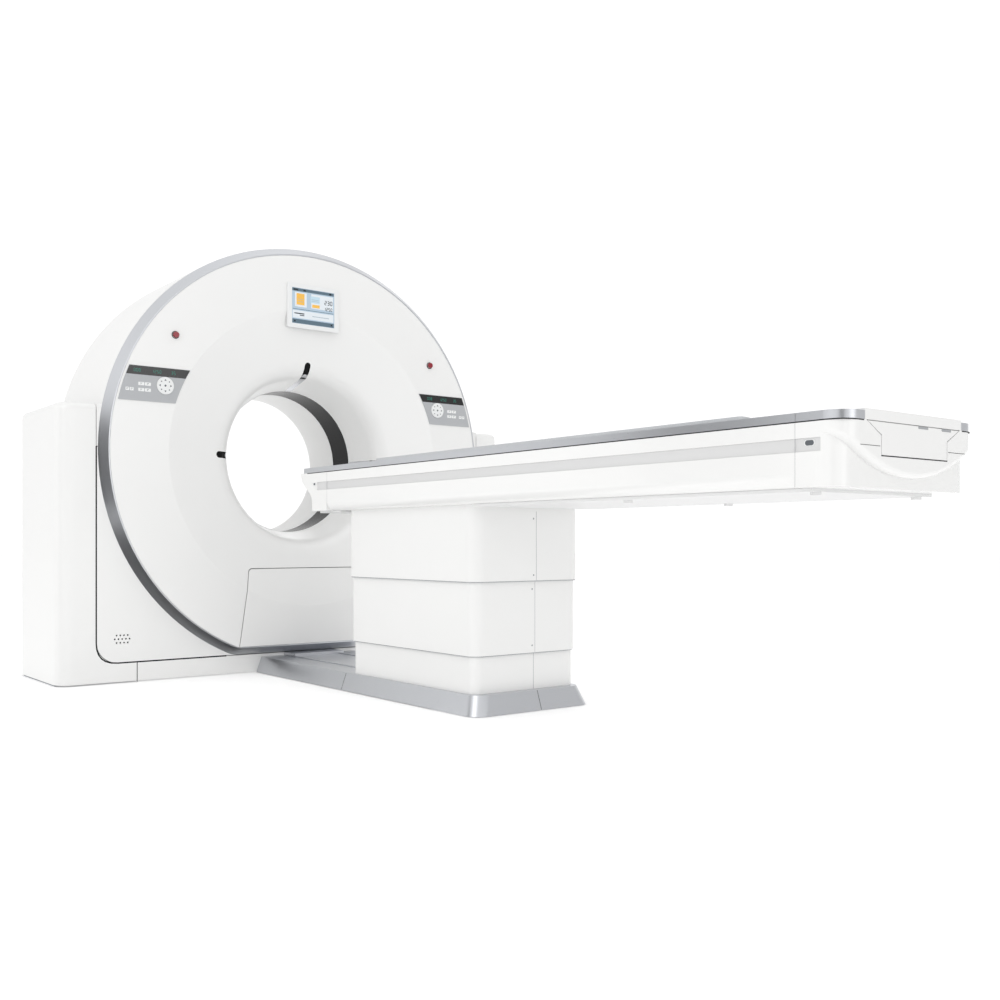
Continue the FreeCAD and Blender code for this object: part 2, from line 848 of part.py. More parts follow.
ROTOR_BACK = d.rotor_plate + d.rotor_plate_thick
node("bearing_outer", tube("Y", BORE, (d.stator_start - d.race_thick, d.stator_start),
                           d.race_radius + d.race_band, d.race_radius))
node("bearing_inner", tube("Y", BORE, (ROTOR_BACK, ROTOR_BACK + d.race_thick),
                           d.race_radius - d.running_gap, d.race_radius - d.race_band))
node("rotor_drum", turned([
    (d.rotor_bore, d.rotor_plate), (d.rotor_bore, ROTOR_BACK), (d.rotor_radius, ROTOR_BACK),
    (d.rotor_radius, d.rotor_front), (d.rotor_radius - d.rotor_rim, d.rotor_front),
    (d.rotor_radius - d.rotor_rim, d.rotor_plate),
]))
node("xray_tube", cylinder("Y", (0, ISO + d.focus_rise), (d.rotor_plate - d.tube_length, d.rotor_plate),
                           d.tube_radius))
tube_bottom = ISO + d.focus_rise - d.tube_radius
node("tube_collimator", box(symmetric(d.collimator_width), (d.rotor_plate - d.collimator_depth, d.rotor_plate),
                            (tube_bottom - d.collimator_height, tube_bottom - d.seat_gap)))


def detector_array():
    """Arc of detector modules facing the tube's focus across the bore."""
    far = d.detector_near + d.detector_thick
    front = d.rotor_plate - d.detector_width
    arc = turned([
        (d.detector_near, front), (far, front), (far, d.rotor_plate), (d.detector_near, d.rotor_plate),
    ], angle=d.detector_span.value, centre_z=ISO + d.focus_rise)
    arc.Placement.Rotation = FreeCAD.Rotation(V(0, 1, 0), 90)
    return arc


node("detector_array", detector_array())
generator_half = d.generator_height / 2
node("high_voltage_generator", box((-d.generator_outer, -d.generator_inner),
                                   (d.rotor_plate - d.generator_depth, d.rotor_plate),
                                   (ISO - generator_half, ISO + generator_half)))
exchanger_half = d.exchanger_height / 2
node("heat_exchanger", box((as_size(d.exchanger_inner), as_size(d.exchanger_outer)),
                           (d.rotor_plate - d.exchanger_depth, d.rotor_plate),
                           (ISO - exchanger_half, ISO + exchanger_half)))
node("slip_ring", tube("Y", BORE, (ROTOR_BACK, ROTOR_BACK + d.slip_thick), d.slip_outer, d.slip_inner))
brush_span = (ISO - d.brush_height / 2, ISO + d.brush_height / 2)
node("brush_block", fuse([
    box((d.brush_inner, d.brush_outer), (ROTOR_BACK + d.slip_thick + d.brush_gap, STATOR[1]), brush_span),
    box((d.brush_inner, d.brush_foot_outer), (STATOR[1], STATOR[1] + d.brush_foot_thick), brush_span),
]))

MOTOR_AT = (-d.motor_offset, d.motor_height)
pulley_back = d.rotor_plate - d.pulley_setback
PULLEY_SPAN = (pulley_back - d.pulley_width, pulley_back)
motor_front = d.rotor_plate + d.motor_setback
node("motor_pulley", fuse([
    cylinder("Y", MOTOR_AT, PULLEY_SPAN, d.pulley_radius),
    cylinder("Y", MOTOR_AT, (PULLEY_SPAN[1], motor_front - d.running_gap), d.pulley_shaft),
]))
motor_case = cylinder("Y", MOTOR_AT, (motor_front, motor_front + d.motor_length), d.motor_radius)
motor_foot_half = d.motor_foot_width / 2
motor_foot_front = motor_front + d.motor_foot_start
motor_foot = box((-d.motor_offset - motor_foot_half, -d.motor_offset + motor_foot_half),
                 (motor_foot_front, motor_foot_front + d.motor_foot_length),
                 (d.frame_height, d.motor_height - d.motor_radius / 2))
node("drive_motor", fuse([motor_case, motor_foot]))


def belt_loop(offset, span):
    """A solid with the outline of a tight loop about the rotor and the motor pulley."""
    large = d.rotor_radius.value + offset
    small = d.pulley_radius.value + offset
    axis_one = V(0, 0, ISO.value)
    axis_two = V(-d.motor_offset.value, 0, d.motor_height.value)
    apart = axis_two - axis_one
    heading = math.atan2(apart.z, apart.x)
    lean = math.acos((large - small) / apart.Length)

    def on(axis, radius, angle):
        return axis + V(math.cos(angle), 0, math.sin(angle)) * radius

    first, last = heading + lean, heading - lean
    around = Part.Arc(on(axis_one, large, first), on(axis_one, large, heading + math.pi),
                      on(axis_one, large, last)).toShape()
    across = Part.Arc(on(axis_two, small, last), on(axis_two, small, heading),
                      on(axis_two, small, first)).toShape()
    sides = [Part.LineSegment(on(axis_one, large, last), on(axis_two, small, last)).toShape(),
             Part.LineSegment(on(axis_two, small, first), on(axis_one, large, first)).toShape()]
    face = Part.Face(Part.Wire([around, sides[0], across, sides[1]]))
    face.translate(V(0, span[0], 0))
    return face.extrude(V(0, span[1] - span[0], 0))


belt = doc.addObject("Part::Feature", "Belt")
belt_back = d.rotor_plate.value - d.belt_setback.value
belt_span = (belt_back - d.belt_width.value, belt_back)
belt.Shape = belt_loop(d.running_gap.value + d.belt_thick.value, belt_span).cut(
    belt_loop(d.running_gap.value, belt_span))
node("drive_belt", belt)

# ---- table foot ----------------------------------------------------------------------------------------
PEDESTAL_MIDDLE = -(d.pedestal_near + d.pedestal_far) / 2
SKIRT_END = FRONT - d.seat_gap
FOOT_HALF = d.foot_frame_width / 2
COLUMN_HALF = (d.column_width / 2, d.column_depth / 2)


def column_block(inset, z_span):
    """A block about the column's axis, smaller than the column by an inset on each side."""
    across = COLUMN_HALF[0] - inset
    along = COLUMN_HALF[1] - inset
    return box((-across, across), (PEDESTAL_MIDDLE - along, PEDESTAL_MIDDLE + along), z_span)


def foot_frame():
    """Steel foot of the table: a floor plate with a rim and cross ribs, and four anchor holes."""
    wall = d.foot_frame_rim
    top = d.skirt_height - d.shell_wall
    near_end = -d.skirt_near + d.foot_frame_inset
    slab = box((-FOOT_HALF, FOOT_HALF), (near_end, SKIRT_END), (0, top))
    bays = 4
    bay = (SKIRT_END - near_end - wall) / bays
    inside = (-FOOT_HALF + wall, FOOT_HALF - wall)
    cuts = []
    for number in range(bays):
        start = near_end + wall + bay * number
        cuts.append(box(inside, (start, start + bay - wall), (d.foot_frame_floor, top + PAST)))
    for side in (1, -1):
        for end in (1, -1):
            middle = (near_end + SKIRT_END) / 2
            spot = (side * d.foot_anchor_spacing / 2, middle + end * d.foot_anchor_depth / 2)
            cuts.append(cylinder("Z", spot, (-PAST, top + PAST), d.foot_anchor_radius))
    cuts.append(column_block(-PAST, (d.foot_frame_floor, top + PAST)))
    return cut(slab, cuts)


node("foot_frame", foot_frame())


def skirt_loft(inset, low, high):
    """The foot's flared outline between two heights."""
    body = doc.addObject("PartDesign::Body", "Body")
    plane = [f for f in body.Origin.OriginFeatures if f.Role == "XY_Plane"][0]
    sketches = []
    for level in (low, high):
        flare = d.skirt_flare * (d.skirt_height - level) / d.skirt_height - inset
        half = d.skirt_top_width / 2 + flare
        sketch = body.newObject("Sketcher::SketchObject", "Level")
        sketch.AttachmentSupport = (plane, [""])
        sketch.MapMode = "FlatFace"
        bind(sketch, "AttachmentOffset.Base.z", level)
        draw_outline(sketch, [
            (-half, -d.skirt_near - flare, d.skirt_round), (half, -d.skirt_near - flare, d.skirt_round),
            (half, SKIRT_END), (-half, SKIRT_END),
        ])
        sketches.append(sketch)
    loft = body.newObject("PartDesign::AdditiveLoft", "Loft")
    loft.Profile = sketches[0]
    loft.Sections = [sketches[1]]
    return body


skirt_outer = skirt_loft(as_size(0), as_size(2), d.skirt_height)
skirt_inner = skirt_loft(d.shell_wall, as_size(-2), d.skirt_height - d.shell_wall)
node("base_skirt", cut(skirt_outer, [skirt_inner, column_block(-2, (0, d.skirt_height + PAST))]))

duct_half = d.duct_width / 2
duct_front = FRONT - d.duct_reach
duct = box((-duct_half, duct_half), (duct_front, SKIRT_END), (d.skirt_height, d.skirt_height + d.duct_height))
strips = [box(span, (-d.pedestal_far + d.tray_gap, duct_front), (d.skirt_height, d.skirt_height + d.duct_strip_height))
          for span in ((-duct_half, -duct_half + d.duct_strip), (duct_half - d.duct_strip, duct_half))]
node("cable_duct", fuse([duct] + strips))


def pedestal_cover(level, z_span):
    """One of three nested covers about the column; level 0 is the outermost."""
    step = (d.pedestal_wall + d.seat_gap) * level
    wall = d.pedestal_wall

    def loop(inset):
        across = d.pedestal_width / 2 - inset
        near_side = -d.pedestal_near + inset
        far_side = -d.pedestal_far - inset
        radius = d.pedestal_round - inset
        return [(-across, near_side, radius), (across, near_side, radius),
                (across, far_side, radius), (-across, far_side, radius)]

    return prism("Z", [loop(step), loop(step + wall)], z_span)


node("cover_lower", pedestal_cover(2, (d.skirt_height, d.cover_joint_low + d.cover_overlap)))
node("cover_middle", pedestal_cover(1, (d.cover_joint_low, d.cover_joint_high + d.cover_overlap)))
node("cover_upper", pedestal_cover(0, (d.cover_joint_high, d.beam_bottom)))

FRAME_BOTTOM = d.beam_bottom + 5
stage_gap = d.column_wall + d.seat_gap
middle_bottom = d.lift_motor_top + d.running_gap + d.lift_travel / 2
inner_bottom = middle_bottom + d.nut_thick + d.lift_travel / 2 + d.column_spare
middle_span = (middle_bottom, d.beam_bottom - d.lift_travel / 2 - d.column_spare)
outer_span = (d.foot_frame_floor, d.beam_bottom - d.lift_travel - d.column_head_room)
inner_span = (inner_bottom, FRAME_BOTTOM)
SCREW_AT = (0, PEDESTAL_MIDDLE)


def column_tube(level, span, floor=0):
    """One stage of the square telescopic column, with a floor of a given thickness if any."""
    outer = column_block(stage_gap * level, span)
    bore = column_block(stage_gap * level + d.column_wall, (span[0] + floor - (0 if floor else PAST),
                                                            span[1] + PAST))
    return cut(outer, [bore])


node("column_outer", column_tube(0, outer_span))
node("column_middle", cut(column_tube(1, middle_span, d.nut_thick),
                          [cylinder("Z", SCREW_AT, (0, d.beam_bottom), d.screw_radius + d.running_gap)]))
node("column_inner", column_tube(2, inner_span))
lift_motor_half = d.lift_motor_width / 2
node("lift_motor", box(symmetric(d.lift_motor_width),
                       (PEDESTAL_MIDDLE - lift_motor_half, PEDESTAL_MIDDLE + lift_motor_half),
                       (d.foot_frame_floor, d.lift_motor_top - d.running_gap)))
node("lift_screw", cylinder("Z", SCREW_AT, (d.lift_motor_top, middle_bottom + d.nut_thick + d.screw_reach),
                            d.screw_radius))

# ---- table beam ----------------------------------------------------------------------------------------
BEAM_HALF = d.beam_width / 2
FOOT_END = -d.beam_foot
HEAD_END = -d.beam_head
CAP_START = FOOT_END + d.end_length
HEAD_START = HEAD_END - d.head_length
beam_span = (CAP_START, HEAD_START)
band_span = (d.band_bottom, d.band_bottom + d.band_height)


def band_grooves(along):
    """The shallow groove for the band on each side, between two places along the beam."""
    return [box((BEAM_HALF - d.band_recess, BEAM_HALF + PAST), along, band_span),
            box((-BEAM_HALF - PAST, -BEAM_HALF + d.band_recess), along, band_span)]


def beam_cover():
    """Trough-shaped cover along the beam, with a shallow band let into each side."""
    inner = BEAM_HALF - d.beam_wall
    floor = d.beam_bottom + 5
    trough = prism("Y", [[
        (-BEAM_HALF, d.beam_top), (-BEAM_HALF, d.beam_bottom, d.beam_round),
        (BEAM_HALF, d.beam_bottom, d.beam_round), (BEAM_HALF, d.beam_top),
        (inner, d.beam_top), (inner, floor, d.beam_round - d.beam_wall),
        (-inner, floor, d.beam_round - d.beam_wall), (-inner, d.beam_top),
    ]], beam_span)
    past = (beam_span[0] - PAST, beam_span[1] + PAST)
    return cut(trough, band_grooves(past) + [column_block(0, (d.beam_bottom - PAST, d.beam_top))])


node("beam_cover", beam_cover())
band_floor = BEAM_HALF - d.band_recess
band_along = (FOOT_END + d.band_foot_end, HEAD_END - d.band_head_end)
right_band = box((band_floor, band_floor + d.band_strip), band_along, band_span)
node("band_strips", group([right_band, mirrored(right_band)]))


def head_cap():
    """Head end of the beam: undercut below, with a channel on top for the cradle."""
    def profile(inset):
        return [(HEAD_START - (PAST if inset else 0), d.beam_top - inset), (HEAD_END - inset, d.beam_top - inset),
                (HEAD_END - d.head_nose - inset, d.beam_top - d.head_nose_depth, d.head_nose_round),
                (HEAD_END - d.head_undercut - inset, d.beam_bottom + d.head_hollow_rise, d.head_hollow_round),
                (HEAD_END - d.head_undercut - d.head_heel - inset, d.beam_bottom + inset),
                (HEAD_START - (PAST if inset else 0), d.beam_bottom + inset)]

    wall = d.beam_wall
    outer = prism("X", [profile(0)], (-BEAM_HALF, BEAM_HALF))
    hollow = prism("X", [profile(wall)], (-BEAM_HALF + wall, BEAM_HALF - wall))
    channel = box(symmetric(d.beam_width - 2 * d.rail_width), (HEAD_START - PAST, HEAD_END + PAST),
                  (d.cradle_low - 5, d.beam_top + PAST))
    return cut(outer, [hollow, channel] + band_grooves((HEAD_START - PAST, band_along[1])))


node("head_cap", head_cap())


def end_plan(recess, radius, start):
    """Plan outline of the beam's foot end, square at its joint with the beam."""
    return [(-BEAM_HALF, FOOT_END + recess, radius), (BEAM_HALF, FOOT_END + recess, radius),
            (BEAM_HALF, start), (-BEAM_HALF, start)]


def latch_prism(inset, depth):
    """Outline of the latch panel, carried back from the end face."""
    low = d.latch_width / 2 - inset
    high = d.latch_top_width / 2 - inset * 3
    return prism("Y", [[
        (-low, d.latch_bottom + inset), (low, d.latch_bottom + inset), (low, d.latch_shoulder + inset),
        (high, d.beam_top - inset), (-high, d.beam_top - inset), (-low, d.latch_shoulder + inset),
    ]], (FOOT_END - PAST, FOOT_END + depth))


def foot_bulge():
    """The part of the foot end that stands proud above a curved lower edge."""
    block = prism("Z", [end_plan(as_size(0), d.end_round, CAP_START)], (d.smile_bottom - PAST, d.beam_top))
    centre = d.smile_bottom + d.smile_radius
    bowl = cylinder("Y", (0, centre), (FOOT_END - PAST, CAP_START + PAST), d.smile_radius)

    def on_smile(a, b):
        on_bowl = [near(math.hypot(p.x, p.z - centre.value), d.smile_radius.value) for p in (a, b)]
        return all(on_bowl) and min(a.y, b.y) < FOOT_END.value + d.end_round.value - PAST

    return softened(common(block, bowl), d.smile_edge_round, on_smile)


def foot_cap():
    """Foot end of the beam: a hollow rounded end, its proud upper face and the lip above it."""
    wall = d.beam_wall
    lower = prism("Z", [end_plan(d.end_recess, d.end_round, CAP_START)], (d.beam_bottom, d.beam_top))
    lip = box(symmetric(d.lip_width), (FOOT_END, FOOT_END + d.lip_depth), (d.beam_top, d.lip_top))
    inside = BEAM_HALF - wall
    hollow_end = FOOT_END + d.end_recess + wall + d.latch_thick
    hollow = prism("Z", [[
        (-inside, hollow_end, d.end_round - wall), (inside, hollow_end, d.end_round - wall),
        (inside, CAP_START + PAST), (-inside, CAP_START + PAST),
    ]], (d.beam_bottom + wall, d.beam_top - wall))
    return cut(fuse([lower, foot_bulge(), lip]),
               [hollow, latch_prism(as_size(0), d.latch_thick)] + band_grooves((band_along[0], CAP_START + PAST)))


node("foot_cap", foot_cap())
node("latch_panel", common(foot_bulge(), latch_prism(as_size(2), d.latch_thick)))

RAIL_Z = (d.beam_top, d.rail_top)
RAIL_INNER = BEAM_HALF - d.rail_width
right_rail = prism("Z", [[
    (RAIL_INNER, CAP_START), (BEAM_HALF, CAP_START), (BEAM_HALF, HEAD_END, d.rail_end_round),
    (RAIL_INNER, HEAD_END),
]], RAIL_Z)
node("side_rails", group([right_rail, mirrored(right_rail)]))
right_end = prism("Z", [[
    (d.lip_width / 2, FOOT_END), (BEAM_HALF, FOOT_END, d.end_round), (BEAM_HALF, CAP_START - 1),
    (RAIL_INNER, CAP_START - 1), (RAIL_INNER, FOOT_END + d.rail_width, d.rail_inner_round),
    (d.lip_width / 2, FOOT_END + d.rail_width),
]], RAIL_Z)
node("rail_ends", group([right_end, mirrored(right_end)]))


def bottom_tray():
    """Two thin plates under the beam, one each side of the lifting column, the longer one on small feet."""
    half = d.tray_width / 2
    low = d.beam_bottom - d.tray_depth
    start = FOOT_END + d.tray_start
    foot_plate = box((-half, half), (start, -d.pedestal_near - d.tray_gap), (low, d.beam_bottom))
    head_plate = box((-half, half), (-d.pedestal_far + d.tray_gap, HEAD_END - d.head_undercut - d.tray_gap),
                     (low, d.beam_bottom))
    feet = []
    for side in (1, -1):
        for reach in (d.tray_gap, d.tray_gap + d.tray_foot_spacing):
            feet.append(cylinder("Z", (side * (half - d.tray_foot_inset), start + reach),
                                 (low - d.tray_foot_drop, low), d.tray_foot_radius))
    return group([fuse([foot_plate] + feet), head_plate])


node("bottom_tray", bottom_tray())

frame_half = d.beam_frame_width / 2
frame_along = (CAP_START + d.frame_inset, HEAD_START - d.frame_inset)
frame_z = (FRAME_BOTTOM, FRAME_BOTTOM + d.beam_frame_height)
wall = d.beam_frame_wall
node("beam_frame", cut(
    box((-frame_half, frame_half), frame_along, frame_z),
    [box((-frame_half + wall, frame_half - wall), (frame_along[0] - PAST, frame_along[1] + PAST),
         (frame_z[0] + wall, frame_z[1] - wall))]))
track_z = (frame_z[1], frame_z[1] + d.track_height)
right_track = box((d.track_offset, d.track_offset + d.track_width), frame_along, track_z)
node("guide_tracks", group([right_track, mirrored(right_track)]))
drive_start = frame_along[0] + d.drive_start
node("cradle_drive", box(symmetric(d.drive_width), (drive_start, drive_start + d.drive_length),
                         (frame_z[0] + wall, frame_z[1] - wall - d.drive_head_room)))


def cradle():
    """Curved patient support with a narrower head part, a dished plate with thin edges."""
    half = d.cradle_width / 2
    top_low = d.cradle_low + d.cradle_thick
    sag = d.cradle_edge - top_low

    def bowl(low, rise):
        radius = (half * half + rise * rise) / (2 * rise)
        return cylinder("Y", (0, low + radius), (-d.cradle_foot, HEAD_END), radius)

    edge_low = d.cradle_edge - d.cradle_edge_thick
    outside = bowl(d.cradle_low, edge_low - d.cradle_low)
    inside = bowl(top_low, sag)
    neck = -d.beam_head - d.cradle_neck_length
    neck_half = d.cradle_neck_width / 2
    shoulder = d.cradle_shoulder_round
    head = HEAD_END - d.cradle_head_inset
    plan = prism("Z", [[
        (-half, -d.cradle_foot, d.cradle_foot_round), (half, -d.cradle_foot, d.cradle_foot_round), (half, neck, shoulder),
        (neck_half, neck + d.cradle_shoulder, shoulder), (neck_half, head, d.cradle_head_round),
        (-neck_half, head, d.cradle_head_round), (-neck_half, neck + d.cradle_shoulder, shoulder), (-half, neck, shoulder),
    ]], (d.cradle_low - PAST, d.cradle_edge))
    return cut(common(plan, outside), [inside])


node("cradle", cradle())
carriage_start = -d.cradle_foot + d.carriage_inset
node("cradle_carriage", box(symmetric(d.carriage_width), (carriage_start, carriage_start + d.carriage_length),
                            (track_z[1] + d.running_gap, d.cradle_low - d.running_gap)))

# ---- checks and output ---------------------------------------------------------------------------------
doc.recompute()
for item in doc.Objects:
    if "Invalid" in item.State or "Error" in item.State:
        raise RuntimeError(f"{item.Name} ({item.Label}) failed: {item.State}")
for name, item in nodes.items():
    shape = item.Shape
    if shape.isNull() or not shape.isValid() or not shape.Solids:
        raise RuntimeError(f"{name} has no valid solid")

os.makedirs("parts", exist_ok=True)
for name, item in nodes.items():
    item.Shape.exportStep(f"parts/{name}.step")
print(len(nodes), "nodes written")
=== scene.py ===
"""Finish of a CT scanner: surfaces, printed controls, screen, seams and small fittings around a fixed frame.

Frame: metres, origin on the floor straight below the isocentre, +X right facing the gantry, +Y into the bore,
+Z up. Every piece lies in its real place, and its object stays at the origin, unturned and unscaled.
"""
import math

import bpy
import numpy as np
from bpy.props import FloatProperty, FloatVectorProperty, PointerProperty
from bpy.types import Operator, Panel, PropertyGroup
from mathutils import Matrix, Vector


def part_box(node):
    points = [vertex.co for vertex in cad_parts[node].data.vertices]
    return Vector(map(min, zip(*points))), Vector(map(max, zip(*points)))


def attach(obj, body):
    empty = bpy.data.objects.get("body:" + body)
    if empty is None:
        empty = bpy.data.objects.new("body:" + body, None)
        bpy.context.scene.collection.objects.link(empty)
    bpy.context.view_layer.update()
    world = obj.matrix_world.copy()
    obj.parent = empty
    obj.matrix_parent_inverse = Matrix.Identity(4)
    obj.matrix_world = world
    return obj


bl_info = {
    "name": "CT scanner finish",
    "version": (1, 0, 0),
    "blender": (4, 5, 0),
    "location": "View3D > Sidebar > Scanner",
    "description": "Materials, printed controls, seams and small fittings of a CT scanner",
    "category": "Object",
}

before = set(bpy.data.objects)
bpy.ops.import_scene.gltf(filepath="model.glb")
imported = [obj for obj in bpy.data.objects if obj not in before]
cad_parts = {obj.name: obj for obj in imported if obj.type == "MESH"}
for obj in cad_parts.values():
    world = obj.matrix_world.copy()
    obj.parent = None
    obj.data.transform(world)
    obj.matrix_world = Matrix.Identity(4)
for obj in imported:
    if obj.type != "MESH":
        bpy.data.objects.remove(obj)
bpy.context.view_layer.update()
MM = 0.001
ISO_HEIGHT = 1.010
WINDOW_RADIUS = 0.350

# ---- colour and materials ------------------------------------------------------------------------------


def linear(hex_colour):
    """An sRGB hex colour as linear RGBA: each channel goes through the sRGB curve."""
    channels = [int(hex_colour[i:i + 2], 16) / 255 for i in (0, 2, 4)]
    return [c / 12.92 if c <= 0.04045 else ((c + 0.055) / 1.055) ** 2.4 for c in channels] + [1.0]


def add(tree, kind, inputs=None, **settings):
    """Adds a node. Inputs that are sockets are linked, and other inputs become the socket's own value."""
    made = tree.nodes.new(kind)
    for name, value in settings.items():
        setattr(made, name, value)
    for key, value in (inputs or {}).items():
        if isinstance(value, bpy.types.NodeSocket):
            tree.links.new(value, made.inputs[key])
        else:
            made.inputs[key].default_value = value
    return made


def finish(name, colour, roughness, grain_mm, bump=0.1, mottle=0.02, stretch=(1, 1, 1), edge_mm=0, shade=None,
           **sockets):
    """One finish: a colour that drifts a little, and a grain of a real size that roughens and lifts it.

    grain_mm is the distance between two bumps, stretch draws the grain out along an axis, and edge_mm is the
    radius that a mould or a brush leaves on an edge.
    """
    material = bpy.data.materials.new(name)
    material.use_nodes = True
    tree = material.node_tree
    tree.nodes.clear()
    place = add(tree, "ShaderNodeTexCoord").outputs["Object"]
    drawn = add(tree, "ShaderNodeMapping", {"Vector": place, "Scale": stretch}).outputs["Vector"]
    grain = add(tree, "ShaderNodeTexNoise", {
        "Vector": drawn, "Scale": 1 / (grain_mm * MM), "Detail": 3.0}).outputs["Fac"]
    base = linear(colour)
    if shade:
        drift = add(tree, "ShaderNodeTexNoise", {"Vector": place, "Scale": 2.2, "Detail": 2.0}).outputs["Fac"]
        ramp = add(tree, "ShaderNodeValToRGB", {"Fac": drift})
        ramp.color_ramp.elements[0].color, ramp.color_ramp.elements[1].color = base, linear(shade)
        base = ramp.outputs["Color"]
    low, high = max(roughness - mottle, 0.02), min(roughness + mottle, 1)
    rough = add(tree, "ShaderNodeMapRange", {"Value": grain, "To Min": low, "To Max": high})
    lift = {"Height": grain, "Strength": bump, "Distance": 0.1 * grain_mm * MM}
    if edge_mm:
        lift["Normal"] = add(tree, "ShaderNodeBevel", {"Radius": edge_mm * MM}, samples=6).outputs["Normal"]
    bumped = add(tree, "ShaderNodeBump", lift)
    surface = add(tree, "ShaderNodeBsdfPrincipled", {
        "Base Color": base, "Roughness": rough.outputs["Result"],
        "Normal": bumped.outputs["Normal"], **sockets})
    add(tree, "ShaderNodeOutputMaterial", {"Surface": surface.outputs["BSDF"]})
    return material


def glowing(name, colour, strength):
    """A lit field of a display: its colour glows evenly behind a thin clear film."""
    return finish(name, colour, 0.25, 0.6, bump=0.02, **{
        "Emission Color": linear(colour), "Emission Strength": strength, "Coat Weight": 0.3})


# ---- mesh making ---------------------------------------------------------------------------------------


def joined(parts):
    """Several (points, faces) pairs as one: each part's faces are counted on from the points before it."""
    points, faces, count = [], [], 0
    for part_points, part_faces in parts:
        points.append(np.asarray(part_points, float).reshape(-1, 3))
        faces += [tuple(i + count for i in face) for face in part_faces]
        count += len(points[-1])
    return np.concatenate(points), faces


def quads(rows, columns, wrap_rows=False, wrap_columns=False):
    """Faces of a grid: each point with its next one along, the next row's, and the next row's next one."""
    r = np.arange(rows if wrap_rows else rows - 1)[:, None]
    c = np.arange(columns if wrap_columns else columns - 1)[None, :]
    r2, c2 = (r + 1) % rows, (c + 1) % columns
    corners = [r * columns + c, r * columns + c2, r2 * columns + c2, r2 * columns + c]
    return [tuple(f) for f in np.stack([np.broadcast_to(k, (r.shape[0], c.shape[1])) for k in corners], -1)
            .reshape(-1, 4).tolist()]


def rounded(width, height, radius, steps=5):
    """Outline of a rounded rectangle: a quarter circle about each corner's centre, anticlockwise."""
    radius = min(radius, width / 2 - 1e-6, height / 2 - 1e-6)
    turn = np.linspace(0, math.pi / 2, steps)
    quarters = [np.stack([sx * (width / 2 - radius) + radius * np.cos(turn + start),
                          sy * (height / 2 - radius) + radius * np.sin(turn + start)], -1)
                for sx, sy, start in ((1, 1, 0), (-1, 1, math.pi / 2),
                                      (-1, -1, math.pi), (1, -1, 1.5 * math.pi))]
    return np.concatenate(quarters)


def disc(radius, steps=32):
    """Outline of a circle: equal turns about its centre, anticlockwise."""
    turn = np.linspace(0, 2 * math.pi, steps, endpoint=False)
    return radius * np.stack([np.cos(turn), np.sin(turn)], -1)


def slab(outline, thick, edge=0.0, low=0.0, centre=(0, 0)):
    """A flat plate with a softened upper edge: its outline at foot and shoulder, and drawn in at the top.

    The top ring is the outline moved towards its middle by the edge, and both ends are closed.
    """
    outline = np.asarray(outline, float)
    middle = (outline.max(0) + outline.min(0)) / 2
    half = np.maximum((outline.max(0) - outline.min(0)) / 2, 1e-9)
    drawn_in = middle + (outline - middle) * np.maximum(1 - edge / half, 0.05)
    rings = [(outline, low), (outline, low + thick - edge), (drawn_in, low + thick)]
    points = np.concatenate([np.column_stack([ring + np.asarray(centre), np.full(len(ring), height)])
                             for ring, height in rings])
    n = len(outline)
    faces = quads(3, n, wrap_columns=True)
    return points, faces + [tuple(range(n))[::-1], tuple(range(2 * n, 3 * n))]


def ringed(outline, inner, thick, low=0.0, centre=(0, 0)):
    """A flat ring: the outer and the inner outline at foot and top, joined round in a closed loop."""
    loops = [(outline, low), (outline, low + thick), (inner, low + thick), (inner, low)]
    points = np.concatenate([np.column_stack([np.asarray(o) + np.asarray(centre), np.full(len(o), h)])
                             for o, h in loops])
    return points, quads(4, len(outline), wrap_rows=True, wrap_columns=True)


def carried(profile, path, side, closed=False):
    """A profile carried along a path: each point is the path's, plus the profile's two parts across it.

    side is the direction, at each path point, of the profile's first part, and its second part lies square to
    side and to the path. An open path gets its two ends closed.
    """
    path, side, profile = np.asarray(path, float), np.asarray(side, float), np.asarray(profile, float)
    if closed:
        along = np.roll(path, -1, 0) - np.roll(path, 1, 0)
    else:
        along = np.gradient(path, axis=0)
    along /= np.linalg.norm(along, axis=1)[:, None]
    side = side - (side * along).sum(1)[:, None] * along
    side /= np.linalg.norm(side, axis=1)[:, None]
    up = np.cross(side, along)
    points = path[:, None] + profile[None, :, :1] * side[:, None] + profile[None, :, 1:] * up[:, None]
    n, m = points.shape[:2]
    faces = quads(n, m, wrap_rows=closed, wrap_columns=True)
    if not closed:
        faces += [tuple(range(m))[::-1], tuple(range((n - 1) * m, n * m))]
    return points.reshape(-1, 3), faces


FACINGS = {
    "front": ((1, 0, 0), (0, 0, 1)),
    "left": ((0, -1, 0), (0, 0, 1)),
    "right": ((0, 1, 0), (0, 0, 1)),
    "rear": ((-1, 0, 0), (0, 0, 1)),
}


def stood(part, facing, origin):
    """A flat part stood on a face: its first two parts run right and up on the face, and its third out of it."""
    points, faces = part
    right, up = (np.array(v, float) for v in FACINGS[facing])
    basis = np.stack([right, up, np.cross(right, up)])
    return np.asarray(points) @ basis + np.asarray(origin, float), faces


def piece(name, parts, material, body, smooth_angle=35):
    """One mesh piece that rides on a body, with its faces turned outwards and its gentle edges shaded smooth."""
    points, faces = joined(parts)
    mesh = bpy.data.meshes.new(name)
    mesh.from_pydata(points.tolist(), [], faces)
    mesh.validate()
    mesh.materials.append(material)
    made = bpy.data.objects.new(name, mesh)
    bpy.context.scene.collection.objects.link(made)
    bpy.context.view_layer.objects.active = made
    for other in bpy.context.selected_objects:
        other.select_set(False)
    made.select_set(True)
    bpy.ops.object.mode_set(mode="EDIT")
    bpy.ops.mesh.select_all(action="SELECT")
    bpy.ops.mesh.normals_make_consistent(inside=False)
    bpy.ops.object.mode_set(mode="OBJECT")
    bpy.ops.object.shade_smooth_by_angle(angle=math.radians(smooth_angle))
    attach(made, body)
    return made


